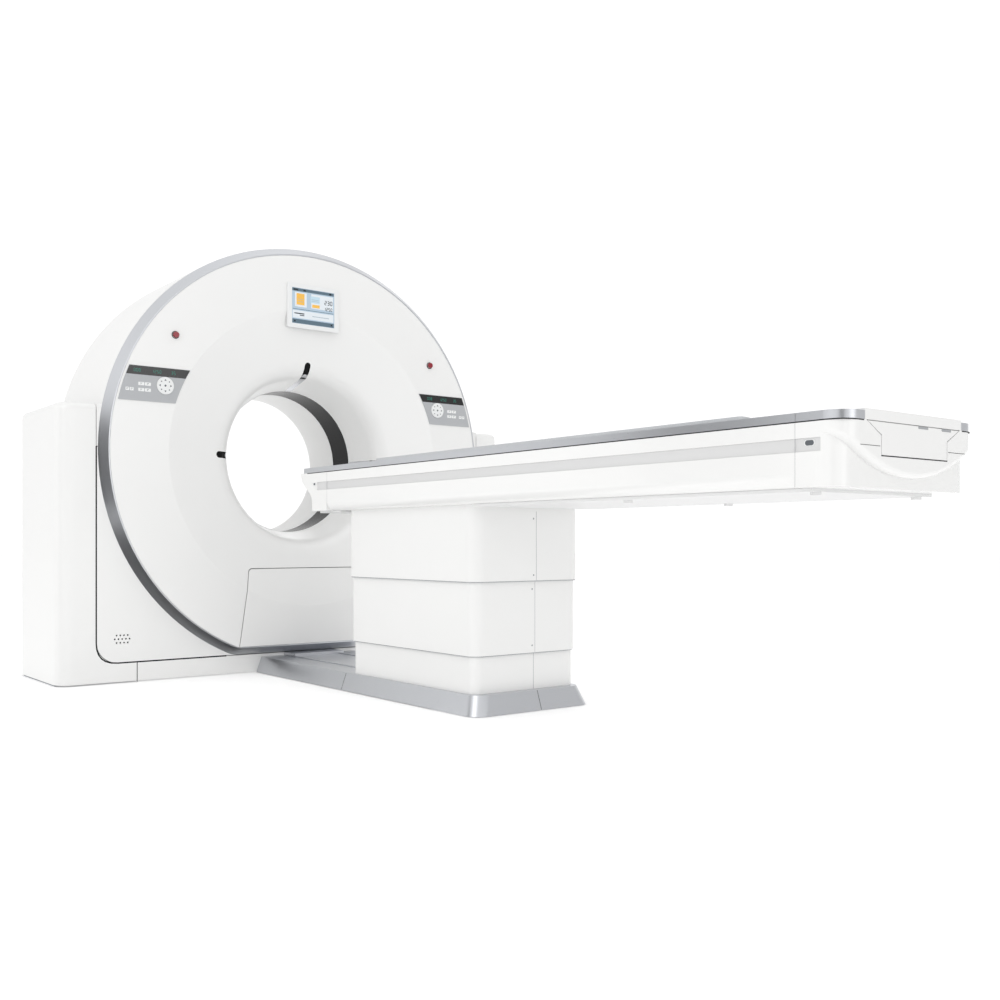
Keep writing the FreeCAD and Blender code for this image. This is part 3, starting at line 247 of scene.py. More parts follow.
def marks(places, facing, origin, thick=0.4, radius=0.5):
    """Flat rounded rectangles on a face, each from its middle, width and height in millimetres."""
    return [stood(slab(rounded(wide * MM, tall * MM, radius * MM, 4), thick * MM, 0.3 * thick * MM,
                       centre=(right * MM, up * MM)), facing, origin) for right, up, wide, tall in places]


def rounds(places, radius, facing, origin, thick=0.6):
    """Small round heads on a face, each from its middle in millimetres."""
    return [stood(slab(disc(radius * MM, 20), thick * MM, 0.3 * thick * MM, centre=(right * MM, up * MM)),
                  facing, origin) for right, up in places]


def bent(points, turn, steps=7):
    """A path with its corners turned smoothly, from a distance of turn before each one to turn after it."""
    if not turn:
        return points
    path = [points[:1]]
    for before, corner, after in zip(points, points[1:], points[2:]):
        start = corner + turn * (before - corner) / np.linalg.norm(before - corner)
        end = corner + turn * (after - corner) / np.linalg.norm(after - corner)
        t = np.linspace(0, 1, steps)[:, None]
        path.append((1 - t) ** 2 * start + 2 * t * (1 - t) * corner + t ** 2 * end)
    return np.concatenate(path + [points[-1:]])


def seam(points, normal, width, turn=0, proud=0.25, deep=0.8):
    """A joint line along points in millimetres: a strip sunk in the face but for its top.

    normal is the face's direction, or None for an upright face that the path goes round anticlockwise, seen
    from above.
    """
    path = bent(np.asarray(points, float), turn) * MM
    if normal is None:
        side = np.cross(np.gradient(path, axis=0), (0, 0, 1))
    else:
        side = np.tile(np.asarray(normal, float), (len(path), 1))
    half = width / 2
    profile = np.array([(-deep, -half), (proud, -half), (proud, half), (-deep, half)]) * MM
    return carried(profile, path, side)


# ---- finishes ------------------------------------------------------------------------------------------


FINISHES = {
    # Polyurethane mouldings, sprayed with a semi-gloss two-part lacquer: even, with a trace of orange peel.
    "sprayed_polyurethane": dict(colour="F1F1F0", roughness=0.3, grain_mm=2.6, bump=0.035, mottle=0.03,
                                 edge_mm=1.6, **{"Coat Weight": 0.25, "Coat Roughness": 0.12}),
    # Folded steel with a fine powder coat: a little more matt than the mouldings.
    "powder_coated_steel": dict(colour="F2F2F1", roughness=0.38, grain_mm=1.2, bump=0.05, mottle=0.04,
                                shade="EFEFEE", edge_mm=1.2),
    # Glass-fibre moulding under a polished gelcoat: deep, even gloss.
    "polished_gelcoat": dict(colour="F4F4F3", roughness=0.24, grain_mm=6.0, bump=0.02, mottle=0.03,
                             shade="F0F0EF", edge_mm=1.6, **{"Coat Weight": 0.35, "Coat Roughness": 0.08}),
    # Injection-moulded ABS with a fine spark-eroded grain.
    "moulded_abs": dict(colour="EDEEEE", roughness=0.36, grain_mm=0.7, bump=0.05, mottle=0.03, edge_mm=1.0),
    # Extruded PVC band, matt and pale grey.
    "extruded_pvc": dict(colour="DADADA", roughness=0.55, grain_mm=1.0, bump=0.05, stretch=(1, 0.05, 1)),
    # Aluminium, brushed along its length and clear anodised: soft streaks and a satin shine.
    "anodised_aluminium": dict(colour="D0D2D6", roughness=0.3, grain_mm=0.8, bump=0.08, mottle=0.06,
                               stretch=(1, 0.03, 1), edge_mm=1.0, Metallic=1.0),
    # The same aluminium on the bent ring, blasted before it was anodised, so it has no streaks.
    "blasted_aluminium": dict(colour="D0D2D6", roughness=0.32, grain_mm=0.9, bump=0.05, mottle=0.04,
                              edge_mm=1.0, Metallic=1.0),
    # Polycarbonate tinted black: it lets the laser and the rays through and looks like polished glass.
    "black_polycarbonate": dict(colour="060607", roughness=0.2, grain_mm=5.0, bump=0.02, mottle=0.02,
                                **{"Specular IOR Level": 0.12}),
    # Pressed brass, chromium plated and polished.
    "polished_chrome": dict(colour="CFD0D4", roughness=0.14, grain_mm=4.0, bump=0.02, Metallic=1.0),
    # Polyester membrane with a satin grey print on its back.
    "printed_polyester": dict(colour="B4B6B9", roughness=0.42, grain_mm=0.5, bump=0.05, mottle=0.04,
                              edge_mm=0.5),
    # Toughened glass in front of a lit screen.
    "screen_glass": dict(colour="9DB0C0", roughness=0.1, grain_mm=8.0, bump=0.0, mottle=0.01,
                         **{"Emission Color": linear("A9BAC8"), "Emission Strength": 0.35}),
    # Red acrylic of a lit push button, dark while it is off.
    "red_acrylic": dict(colour="8E1626", roughness=0.16, grain_mm=2.0, bump=0.02, **{"Coat Weight": 0.5}),
    # Lacquered carbon-fibre sandwich plate: pale lacquer over the weave.
    "lacquered_composite": dict(colour="DCDEE0", roughness=0.27, grain_mm=3.0, bump=0.05, mottle=0.04,
                                shade="D5D8DB", edge_mm=1.0, **{"Coat Weight": 0.4, "Coat Roughness": 0.1}),
    # Vacuum-formed tray, satin.
    "formed_tray": dict(colour="E6E6E6", roughness=0.45, grain_mm=1.5, bump=0.06, edge_mm=1.0),
    # Welded steel with blue-grey paint.
    "painted_steel": dict(colour="8B9097", roughness=0.45, grain_mm=2.0, bump=0.08, shade="848990",
                          edge_mm=1.0),
    # Sand-cast aluminium, left with its skin.
    "cast_aluminium": dict(colour="A4A6AA", roughness=0.5, grain_mm=1.6, bump=0.2, mottle=0.08, shade="989A9E",
                           edge_mm=1.5, Metallic=1.0),
    # Hardened steel, ground round: fine bright lines.
    "ground_steel": dict(colour="B0B0B4", roughness=0.25, grain_mm=0.6, bump=0.08, stretch=(1, 0.05, 1),
                         Metallic=1.0),
    # Hammered enamel on the high-voltage units.
    "enamelled_unit": dict(colour="565C63", roughness=0.4, grain_mm=4.0, bump=0.15, mottle=0.05, shade="4E545B",
                           edge_mm=1.5),
    # Silver-faced brass tracks, turned and polished.
    "turned_brass": dict(colour="C9A95F", roughness=0.22, grain_mm=0.7, bump=0.06, stretch=(1, 0.05, 1),
                         Metallic=1.0),
    # Glass-filled nylon, black and matt; the same black is painted shade in the strip under the table's rail, where
    # its shadow line falls.
    "nylon_and_painted_shade": dict(colour="232427", roughness=0.6, grain_mm=0.9, bump=0.1, edge_mm=0.8),
    # Moulded rubber belt with a talcum dullness.
    "moulded_rubber": dict(colour="141414", roughness=0.75, grain_mm=1.2, bump=0.15),
    # Open shadow of a joint between two covers.
    "joint_shadow": dict(colour="1C1D20", roughness=0.8, grain_mm=1.0, bump=0.05),
    # Grey of the softer joints and the pedestal's screws; the same grey is painted shade in the ring under each
    # step of the pedestal and in the finger recesses under the latch's lip.
    "joint_grey_and_shade": dict(colour="A5A7AA", roughness=0.7, grain_mm=1.0, bump=0.05),
    # Black glass of the figures' window.
    "tinted_glass": dict(colour="0A0C0E", roughness=0.1, grain_mm=6.0, bump=0.0, mottle=0.01,
                         **{"Coat Weight": 0.4}),
    # White key caps printed on the membrane; the same white on the window's edge rims is partly a painted
    # highlight.
    "key_white_and_rim_highlight": dict(colour="F0F1F1", roughness=0.4, grain_mm=0.5, bump=0.04),
    # Slate print of arrows and marks.
    "slate_print": dict(colour="5D6267", roughness=0.5, grain_mm=0.5, bump=0.03),
}

NODE_FINISHES = {
    "sprayed_polyurethane": ("side_housing_left", "side_housing_right", "top_shell", "front_cover_left",
                             "front_cover_right", "plinth_strip", "front_disc", "access_cover", "rear_cover",
                             "rear_disc"),
    "powder_coated_steel": ("cover_lower", "cover_middle", "cover_upper"),
    "polished_gelcoat": ("beam_cover", "head_cap", "foot_cap", "latch_panel"),
    "moulded_abs": ("display_bezel", "pad_left", "pad_right"),
    "extruded_pvc": ("band_strips",),
    "anodised_aluminium": ("side_rails", "rail_ends", "base_skirt", "cable_duct", "column_inner",
                           "column_middle", "column_outer", "beam_frame", "cradle_carriage"),
    "blasted_aluminium": ("ring_trim",),
    "black_polycarbonate": ("window_ring", "laser_windows"),
    "polished_chrome": ("laser_channels",),
    "printed_polyester": ("control_panels",),
    "screen_glass": ("display_screen",),
    "red_acrylic": ("stop_button_left", "stop_button_right"),
    "lacquered_composite": ("cradle",),
    "formed_tray": ("bottom_tray",),
    "painted_steel": ("base_frame", "foot_frame"),
    "cast_aluminium": ("stator_frame", "rotor_drum"),
    "ground_steel": ("bearing_inner", "bearing_outer", "motor_pulley", "lift_screw", "guide_tracks"),
    "enamelled_unit": ("xray_tube", "tube_collimator", "detector_array", "high_voltage_generator",
                       "heat_exchanger", "drive_motor", "lift_motor", "cradle_drive"),
    "turned_brass": ("slip_ring",),
    "nylon_and_painted_shade": ("brush_block",),
    "moulded_rubber": ("drive_belt",),
}

MATERIALS = {name: finish(name, **facts) for name, facts in FINISHES.items()}
LIT = {name: glowing(name, colour, strength) for name, colour, strength in (
    ("lit_slate", "566C7A", 0.1), ("lit_white", "DDE3E8", 0.12), ("lit_grey", "A3B1BB", 0.1),
    ("lit_blue", "BCD6E4", 0.1), ("lit_amber", "E8B450", 0.15), ("lit_ink", "1E2A33", 0.0),
    ("lit_green", "236C5D", 0.15))}


class ScannerColours(PropertyGroup):
    """Colours of the finishes that a maker would offer."""
    cover: FloatVectorProperty(name="Covers", description="Sprayed covers", subtype="COLOR", size=4,
                               default=linear(FINISHES["sprayed_polyurethane"]["colour"]))
    metal: FloatVectorProperty(name="Trim", description="Anodised metal trims", subtype="COLOR", size=4,
                               default=linear(FINISHES["anodised_aluminium"]["colour"]))
    stop: FloatVectorProperty(name="Stop buttons", description="Emergency stop buttons", subtype="COLOR",
                              size=4, default=linear(FINISHES["red_acrylic"]["colour"]))


class SCANNER_OT_finishes(Operator):
    """Give each part of the frame the finish of its real material"""
    bl_idname = "scanner.finishes"
    bl_label = "Finishes"

    def execute(self, context):
        colours = context.scene.scanner_colours
        for name, colour in (("sprayed_polyurethane", colours.cover), ("anodised_aluminium", colours.metal),
                             ("blasted_aluminium", colours.metal), ("red_acrylic", colours.stop)):
            for made in MATERIALS[name].node_tree.nodes:
                if made.bl_idname == "ShaderNodeBsdfPrincipled":
                    made.inputs["Base Color"].default_value = colour
        for name, nodes in NODE_FINISHES.items():
            for node in nodes:
                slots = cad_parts[node].material_slots
                for place in slots:
                    place.material = MATERIALS[name]
        return {"FINISHED"}


# ---- controls and screen -------------------------------------------------------------------------------

# Middle of each bar of a figure, in widths and half heights from the figure's middle, and whether it lies level.
BARS = {"a": (0, 1, True), "b": (0.5, 0.5, False), "c": (0.5, -0.5, False), "d": (0, -1, True),
        "e": (-0.5, -0.5, False), "f": (-0.5, 0.5, False), "g": (0, 0, True)}
FIGURES = {"0": "abcdef", "1": "bc", "2": "abged", "3": "abgcd", "5": "afgcd", "8": "abcdefg"}


def figures(text, right, up, tall):
    """Bars of a row of seven-bar figures, the first one's middle at (right, up)."""
    bars = []
    for place, figure in enumerate(text):
        for key in FIGURES[figure]:
            across, rise, level = BARS[key]
            size = (0.42 * tall, 0.18 * tall) if level else (0.18 * tall, 0.4 * tall)
            bars.append((right + tall * (0.85 * place + 0.5 * across), up + rise * tall / 2, *size))
    return bars


def face_of(node):
    """Front face of a node, as an origin for flat pieces."""
    return (0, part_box(node)[0].y, 0)


# A panel's figures, and where each starts on the left and on the right panel. Places and sizes in millimetres.
FIGURE_TEXTS = ("008", "1250", "35")
FIGURE_STARTS = {-1: (-858, -778, -692), 1: (664, 742, 828)}
FIGURE_HEIGHT = 13

# Middles of the wide and the small keys of a panel, their widths and height, and the thickness of a key or window.
WIDE_KEYS, SMALL_KEYS = (800, 829), (870, 889)
WIDE_KEY, SMALL_KEY, KEY_HEIGHT = 26, 16, 14
CAP_THICK = 0.5

# Print on a direction pad: an arrow's corners, the distance and radius of its dots, and the middle dot's radius.
ARROW = ((-5, 21.5), (5, 21.5), (0, 29))
DOT_DISTANCE, DOT_RADIUS, MIDDLE_RADIUS = 25.0, 2.6, 4.5
PRINT_THICK = 0.3
EIGHTH_TURN = ((0.7071, 0.7071), (-0.7071, 0.7071))


class ConsoleSizes(PropertyGroup):
    """Layout of the two membrane panels beside the opening, in millimetres."""
    inner: FloatProperty(name="Inner radius", description="Panel's edge nearest to the opening", default=708)
    outer: FloatProperty(name="Outer radius", description="Panel's edge nearest to the rim", default=952)
    strip: FloatProperty(name="Strip", description="Height of the black window for the figures", default=38)
    key_row: FloatProperty(name="Key rows", description="Distance between the two rows of keys", default=26)


class SCANNER_OT_consoles(Operator):
    """Figures, keys and arrows of the two control panels, and a collar round each stop button"""
    bl_idname = "scanner.consoles"
    bl_label = "Control panels"

    def execute(self, context):
        sizes = context.scene.scanner_consoles
        face = face_of("control_panels")
        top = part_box("control_panels")[1].z / MM - 1
        low = top - sizes.strip
        iso = ISO_HEIGHT / MM
        windows, digits, keys, glyphs = [], [], [], []
        for side in (-1, 1):
            up = np.linspace(low, top, 9)
            inner = np.sqrt(sizes.inner ** 2 - (up - iso) ** 2) + 1
            outer = np.sqrt(sizes.outer ** 2 - (up - iso) ** 2) - 1
            outline = np.concatenate([np.column_stack([side * outer, up]),
                                      np.column_stack([side * inner, up])[::-1]])
            windows.append(stood(slab(outline * MM, CAP_THICK * MM, 0.15 * MM), "front", face))
            cap = (0, face[1] - CAP_THICK * MM, 0)
            for text, start in zip(FIGURE_TEXTS, FIGURE_STARTS[side]):
                digits += marks(figures(text, start, (low + top) / 2, FIGURE_HEIGHT), "front", cap, 0.15, 0.1)
            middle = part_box("pad_left")[0].z / 2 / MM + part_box("pad_left")[1].z / 2 / MM
            wide = [(x, middle - row * sizes.key_row) for row in (0, 1) for x in WIDE_KEYS]
            small = [(x, middle - sizes.key_row) for x in SMALL_KEYS]
            keys += marks([(side * x, z, WIDE_KEY, KEY_HEIGHT) for x, z in wide]
                          + [(side * x, z, SMALL_KEY, KEY_HEIGHT) for x, z in small],
                          "front", face, CAP_THICK, 2)
            for x, z in wide + small:
                glyphs += marks([(side * x, z + 2.6, 9, 1.6), (side * x - 2, z - 1.6, 5, 1.6)],
                                "front", cap, 0.15, 0.3)
        piece("figure_windows", windows, MATERIALS["tinted_glass"], "base")
        piece("figures", digits, LIT["lit_green"], "base")
        piece("membrane_keys", keys, MATERIALS["key_white_and_rim_highlight"], "base")
        piece("key_glyphs", glyphs, MATERIALS["slate_print"], "base")
        for side, name in ((-1, "left"), (1, "right")):
            self.pad(side, name)
            self.collar(name)
        return {"FINISHED"}

    def pad(self, side, name):
        """Four arrows, a ring of dots and a middle dot on a round pad."""
        low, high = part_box(f"pad_{name}")
        middle = np.array([(low.x + high.x) / 2, (low.z + high.z) / 2])
        arrows = []
        for turn in range(4):
            angle = math.pi / 2 * turn
            spin = np.array([[math.cos(angle), math.sin(angle)], [-math.sin(angle), math.cos(angle)]])
            arrow = np.array(ARROW) @ spin * MM
            arrows.append(stood(slab(arrow, PRINT_THICK * MM, centre=middle), "front", (0, low.y, 0)))
            dot = np.array([(0, DOT_DISTANCE)]) @ np.array(EIGHTH_TURN) @ spin + middle / MM
            arrows += rounds(dot, DOT_RADIUS, "front", (0, low.y, 0), PRINT_THICK)
        arrows += rounds([middle / MM], MIDDLE_RADIUS, "front", (0, low.y, 0), PRINT_THICK)
        piece(f"pad_{name}_print", arrows, MATERIALS["slate_print"], f"pad_{name}")

    def collar(self, name):
        """Thin collar in the moulding round a stop button, clear of the moving cap."""
        low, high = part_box(f"stop_button_{name}")
        radius = (high.x - low.x) / 2
        ring = ringed(disc(radius + 4 * MM, 40), disc(radius + 0.8 * MM, 40), 1.4 * MM,
                      centre=((low.x + high.x) / 2, (low.z + high.z) / 2))
        piece(f"stop_{name}_collar", [stood(ring, "front", face_of("front_disc"))], MATERIALS["nylon_and_painted_shade"],
              "base")


class SCANNER_OT_screen(Operator):
    """Fields and figures of the screen over the opening"""
    bl_idname = "scanner.screen"
    bl_label = "Screen"

    def execute(self, context):
        low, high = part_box("display_screen")
        wide, tall = (high.x - low.x) / MM, (high.z - low.z) / MM
        up = (high.z + low.z) / 2 / MM
        face = (0, low.y, 0)
        upper = (0, low.y - 0.2 * MM, 0)
        fields = {
            "lit_slate": [(0, tall / 2 - 9, wide - 4, 14), (0, 12 - tall / 2, wide - 4, 20),
                          (0, -16, wide - 8, 2.5)],
            "lit_white": [(-66, 30, 62, 68), (48, 30, 118, 68), (0, -40, wide - 8, 36)],
        }
        over = {
            "lit_amber": [(-68, 32, 42, 54), (14, 8, 40, 15)],
            "lit_blue": [(10, 38, 50, 32)],
            "lit_grey": [(10, 38, 40, 2), (10, 31, 40, 2), (-68, 32, 30, 1.6), (-68, 20, 30, 1.6),
                         (40, -42, 90, 3)],
            "lit_ink": [(-92, tall / 2 - 9, 24, 8), (-46, tall / 2 - 9, 14, 8), (92, tall / 2 - 9, 12, 8),
                        (-74, -36, 52, 5), (-60, -44, 24, 4), (-98, 12 - tall / 2, 8, 8), (98, 12 - tall / 2, 8, 8)]
            + figures("230", 66, 32, 18) + figures("1250", 62, 2, 14),
        }
        for name, places in fields.items():
            moved = [(x, z + up, w, h) for x, z, w, h in places]
            piece(f"screen_{name}_field", marks(moved, "front", face, 0.2, 1), LIT[name], "base")
        for level, (name, places) in enumerate(over.items()):
            moved = [(x, z + up, w, h) for x, z, w, h in places]
            origin = (0, upper[1] - 0.05 * level * MM, 0)
            piece(f"screen_{name}_mark", marks(moved, "front", origin, 0.15, 0.4), LIT[name], "base")
        return {"FINISHED"}


# ---- joints and fittings -------------------------------------------------------------------------------


# Places of the gantry's joints and fittings, in millimetres: from a cover's edge to its joint's middle, the inner
# ends of a front cover's top and foot joints, and the rear cover's joints and screws.
HALF_GAP = 1.5
TOP_JOINT_END, FOOT_JOINT_END = 1001, 420
REAR_JOINT, REAR_JOINT_SPAN = 906, (100, 560)
REAR_SCREW, REAR_SCREW_HEIGHTS = 955, (170, 620, 1060)

# The pedestal: how much narrower than its cover the grey ring of painted shade under each step is outside and
# inside, its corners' radii and thickness, the front joint, the lower screw of each cover and the distance to the
# upper one.
STEP_SHADE_OUTSIDE, STEP_SHADE_INSIDE = 1, 15.6
STEP_SHADE_OUTER_ROUND, STEP_SHADE_INNER_ROUND, STEP_SHADE_THICK = 49, 43, 3
PEDESTAL_JOINT, PEDESTAL_SCREW, SCREW_DISTANCE = 35, 22, 205
UPPER_SCREW_HEIGHT, MIDDLE_SCREW_HEIGHT = 488, 232

# The skirt: how far its wall leans, and where the joints of its sides and of its front are.
SKIRT_FLARE, SKIRT_SIDE_JOINT, SKIRT_FRONT_JOINT = 25.3, -1098, 27

# The beam: the two ends of the painted shadow line under the rail, the foot of the end caps' joints, the latch's
# shoulders and gap, and the painted shade of its finger recesses.
SHADOW_LINE_SHORT, SHADOW_LINE_RETURN, CAP_JOINT_FOOT = 60, 222, 741
SHOULDER_SPAN, SHOULDER_HEIGHT = (154, 236), 840
LATCH_HALF, LATCH_FOOT = 150, 817
RECESS_SHADES, RECESS_SHADE_DROP, RECESS_SHADE_SIZE = (36, 145), 32, (46, 7)

# Side lamps: place along the table, height above the floor, width, height, and how far the lamp is sunk.
SIDE_LAMPS = ((-3408, 847, 26, 13, 4), (-924, 852, 16, 9, 0))


class JointSizes(PropertyGroup):
    """Widths of the joint lines and of the painted shadow line under the rail, in millimetres."""
    cover: FloatProperty(name="Cover joints", description="Open joints between the large covers", default=6.0)
    table: FloatProperty(name="Table joints", description="Joints of the table's covers", default=1.4)
    # The rail shadow is painted shade: a black strip on the beam's side where the rail's shadow line falls.
    rail_shadow: FloatProperty(name="Rail shadow", description="Dark gasket under the table's silver rail",
                               default=3.0)


class SCANNER_OT_joints(Operator):
    """Joint lines between the covers of the gantry and of the table"""
    bl_idname = "scanner.joints"
    bl_label = "Joints"

    def execute(self, context):
        sizes = context.scene.scanner_joints
        self.gantry(sizes)
        self.pedestal(sizes)
        self.beam(sizes)
        return {"FINISHED"}

    def gantry(self, sizes):
        """Joints of the lower front covers and the plinth, the window's edges with white rims that are partly a
        painted highlight, and the rear cover's joints.
        """
        low, high = (np.array(corner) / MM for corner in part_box("front_cover_right"))
        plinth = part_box("plinth_strip")[1].x / MM
        face, outward = low[1], (0, -1, 0)
        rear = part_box("rear_cover")[1].y / MM
        lines = []
        for side in (-1, 1):
            edge, foot, top = side * (high[0] + HALF_GAP), low[2] - HALF_GAP, high[2] + HALF_GAP
            end = side * (plinth + HALF_GAP)
            lines.append(seam([(edge, face, top), (edge, face, foot), (side * FOOT_JOINT_END, face, foot)],
                              outward, sizes.cover, turn=90))
            lines.append(seam([(side * TOP_JOINT_END, face, top), (edge, face, top)], outward, 3))
            lines.append(seam([(end, face, 1), (end, face, foot)], outward, 3))
            lines.append(seam([(side * REAR_JOINT, rear, up) for up in REAR_JOINT_SPAN], (0, 1, 0), 2))
        piece("cover_joints", lines, MATERIALS["joint_shadow"], "base")
        screws = [(side * REAR_SCREW, up) for side in (-1, 1) for up in REAR_SCREW_HEIGHTS]
        piece("rear_fasteners", [stood(slab(disc(7 * MM, 24), 1.2 * MM, 0.4 * MM, centre=(x * MM, z * MM)),
                                       "rear", (0, rear * MM, 0)) for x, z in screws],
              MATERIALS["polished_chrome"], "base")
        low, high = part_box("window_ring")
        turn = np.linspace(0, 2 * math.pi, 160, endpoint=False)
        # Thin rims at both edges of the window: real edge beads, painted white for the bright highlight line along
        # each edge.
        rims = []
        for along in (low.y, high.y):
            inward = np.column_stack([-np.cos(turn), 0 * turn, -np.sin(turn)])
            path = np.array([0, along, ISO_HEIGHT]) - (WINDOW_RADIUS - 0.1 * MM) * inward
            profile = np.array([(-0.4, -3), (0.5, -3), (0.5, 3), (-0.4, 3)]) * MM
            rims.append(carried(profile, path, inward, closed=True))
        piece("window_rim_highlights", rims, MATERIALS["key_white_and_rim_highlight"], "base")

    def pedestal(self, sizes):
        """A grey ring of painted shade under each step of the pedestal, its front joint and screws, and the skirt's
        joints.
        """
        # Painted shade: a thin grey ring under each step, where the step's shadow gap falls.
        for node, body in (("cover_upper", "lift"), ("cover_middle", "cover_stage")):
            low, high = (np.array(corner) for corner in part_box(node))
            wide, deep = high[0] - low[0], high[1] - low[1]
            outer = rounded(wide - STEP_SHADE_OUTSIDE * MM, deep - STEP_SHADE_OUTSIDE * MM, STEP_SHADE_OUTER_ROUND * MM, 8)
            inner = rounded(wide - STEP_SHADE_INSIDE * MM, deep - STEP_SHADE_INSIDE * MM, STEP_SHADE_INNER_ROUND * MM, 8)
            ring = ringed(outer, inner, STEP_SHADE_THICK * MM, low[2] - STEP_SHADE_THICK * MM,
                          centre=(0, (low[1] + high[1]) / 2))
            piece(f"{node}_step_shade", [ring], MATERIALS["joint_grey_and_shade"], body)
        for node, body in (("cover_upper", "lift"), ("cover_middle", "cover_stage"), ("cover_lower", "base")):
            low, high = (np.array(corner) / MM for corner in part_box(node))
            top = {"lift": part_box("bottom_tray")[0].z / MM, "cover_stage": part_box("cover_upper")[0].z / MM,
                   "base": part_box("cover_middle")[0].z / MM}[body]
            line = seam([(PEDESTAL_JOINT, low[1], low[2] + 1), (PEDESTAL_JOINT, low[1], top - 4)],
                        (0, -1, 0), 1.6, proud=0.15)
            piece(f"{node}_joint", [line], MATERIALS["joint_grey_and_shade"], body)
        for node, body, height in (("cover_upper", "lift", UPPER_SCREW_HEIGHT),
                                   ("cover_middle", "cover_stage", MIDDLE_SCREW_HEIGHT)):
            face = face_of(node)
            places = [(PEDESTAL_SCREW, height), (PEDESTAL_SCREW, height + SCREW_DISTANCE)]
            piece(f"{node}_screws", rounds(places, 3.4, "front", face, 0.25),
                  MATERIALS["joint_grey_and_shade"], body)
        low, high = (np.array(corner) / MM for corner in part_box("base_skirt"))
        half, flare, tall = high[0], SKIRT_FLARE, high[2] - low[2]
        upright = [seam([(side * (half - 0.02 * flare), SKIRT_SIDE_JOINT, low[2] + 0.02 * tall),
                         (side * (half - 0.98 * flare), SKIRT_SIDE_JOINT, low[2] + 0.98 * tall)],
                        (side * tall, 0, flare), sizes.table, proud=0.5, deep=1.5) for side in (-1, 1)]
        upright.append(seam([(SKIRT_FRONT_JOINT, low[1] + 0.02 * flare, low[2] + 0.02 * tall),
                             (SKIRT_FRONT_JOINT, low[1] + 0.98 * flare, low[2] + 0.98 * tall)],
                            (0, -tall, flare), sizes.table, proud=0.5, deep=1.5))
        piece("skirt_joints", upright, MATERIALS["joint_shadow"], "base")

    def beam(self, sizes):
        """The painted shadow line under the rail, the end caps' joints, the latch's gap, the painted shade of the
        finger recesses, and the side lamps.
        """
        foot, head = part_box("foot_cap"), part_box("head_cap")
        half = foot[1].x / MM
        front, back = foot[0].y / MM, head[1].y / MM
        level = foot[1].z / MM
        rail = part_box("side_rails")[0].z / MM
        shadow_strips, caps, seals, ovals = [], [], [], []
        for side in (-1, 1):
            # Painted shade: a black strip just under the rail, along the side and round the foot end, where the
            # rail's shadow falls.
            path = [(side * half, back - SHADOW_LINE_SHORT, rail - HALF_GAP), (side * half, front, rail - HALF_GAP),
                    (side * SHADOW_LINE_RETURN, front, rail - HALF_GAP)]
            shadow_strips.append(seam(path[::-side], None, sizes.rail_shadow, turn=60))
            outward = (side, 0, 0)
            for along in (foot[1].y / MM, head[0].y / MM):
                seals.append(seam([(side * half, along, CAP_JOINT_FOOT), (side * half, along, rail - 4)],
                                  outward, 0.8))
            caps.append(seam([(side * across, front, SHOULDER_HEIGHT) for across in SHOULDER_SPAN],
                             (0, -1, 0), sizes.table))
            facing = "right" if side > 0 else "left"
            for along, up, wide, tall, inset in SIDE_LAMPS:
                origin = (side * (half - inset) * MM, 0, 0)
                centre = (side * along * MM, up * MM)
                ovals.append((facing, origin, centre, wide, tall))
        caps.append(seam([(-LATCH_HALF, front, LATCH_FOOT), (LATCH_HALF, front, LATCH_FOOT)],
                         (0, -1, 0), 3, proud=0.15))
        piece("rail_painted_shadow", shadow_strips, MATERIALS["nylon_and_painted_shade"], "lift")
        piece("latch_joints", caps, MATERIALS["joint_shadow"], "lift")
        piece("cap_joints", seals, MATERIALS["joint_grey_and_shade"], "lift")
        # Painted shade: flat grey marks under the latch's lip, where the finger recesses lie in shade.
        piece("finger_recess_shade", marks([(across, level - RECESS_SHADE_DROP, *RECESS_SHADE_SIZE) for across in RECESS_SHADES],
                                       "front", (0, front * MM, 0), 0.3, 3),
              MATERIALS["joint_grey_and_shade"], "lift")
        lamps, rims = [], []
        for facing, origin, centre, wide, tall in ovals:
            outline = rounded(wide * MM, tall * MM, tall * MM / 2, 9)
            rims.append(stood(ringed(outline * (1 + 6 / wide), outline, 1.2 * MM, centre=centre), facing, origin))
            lamps.append(stood(slab(outline, 0.9 * MM, 0.3 * MM, centre=centre), facing, origin))
        piece("side_lamps", lamps, MATERIALS["slate_print"], "lift")
        piece("side_lamp_rims", rims, MATERIALS["moulded_abs"], "lift")


# ---- stage ---------------------------------------------------------------------------------------------


# Grey flags in the surround, which give the trims and the gloss their darker stretches. Each has the direction
# of its middle, the cosines where it starts and where it is full, and the share of light it leaves.
FLAGS = (
    ((0.68, -0.62, 0.38), 0.55, 0.95, 0.72),
    ((-0.61, -0.78, 0.12), 0.962, 0.984, 0.12),
)

# Dark cards that only show in reflections, each from its middle, its size and the axis it faces.
CARDS = {
    "card_left": ((-3.0, -0.72, 0.85), (1.05, 1.75), "X"),
    "card_floor": ((-1.3, -1.0, 0.002), (2.4, 1.5), "Z"),
}


# Soft boxes, each from its place, the point it faces, its width, and its power as a share of the key light's.
SOFT_BOXES = {
    "key_box": ((-5.5, -3.6, 4.2), (-0.3, -1.2, 0.8), 3.0, 1.0),
    "top_box": ((0.6, -1.6, 5.0), (0.2, -1.8, 0.6), 3.4, 0.55),
    "front_box": ((2.6, -16.0, 3.0), (0, -0.3, 0.9), 6.0, 2.9),
    "rear_box": ((3.4, 4.2, 3.6), (0, 0, 1.0), 2.6, 0.3),
}

# The floor lies just under the scanner's feet.
FLOOR_HEIGHT = -0.0005


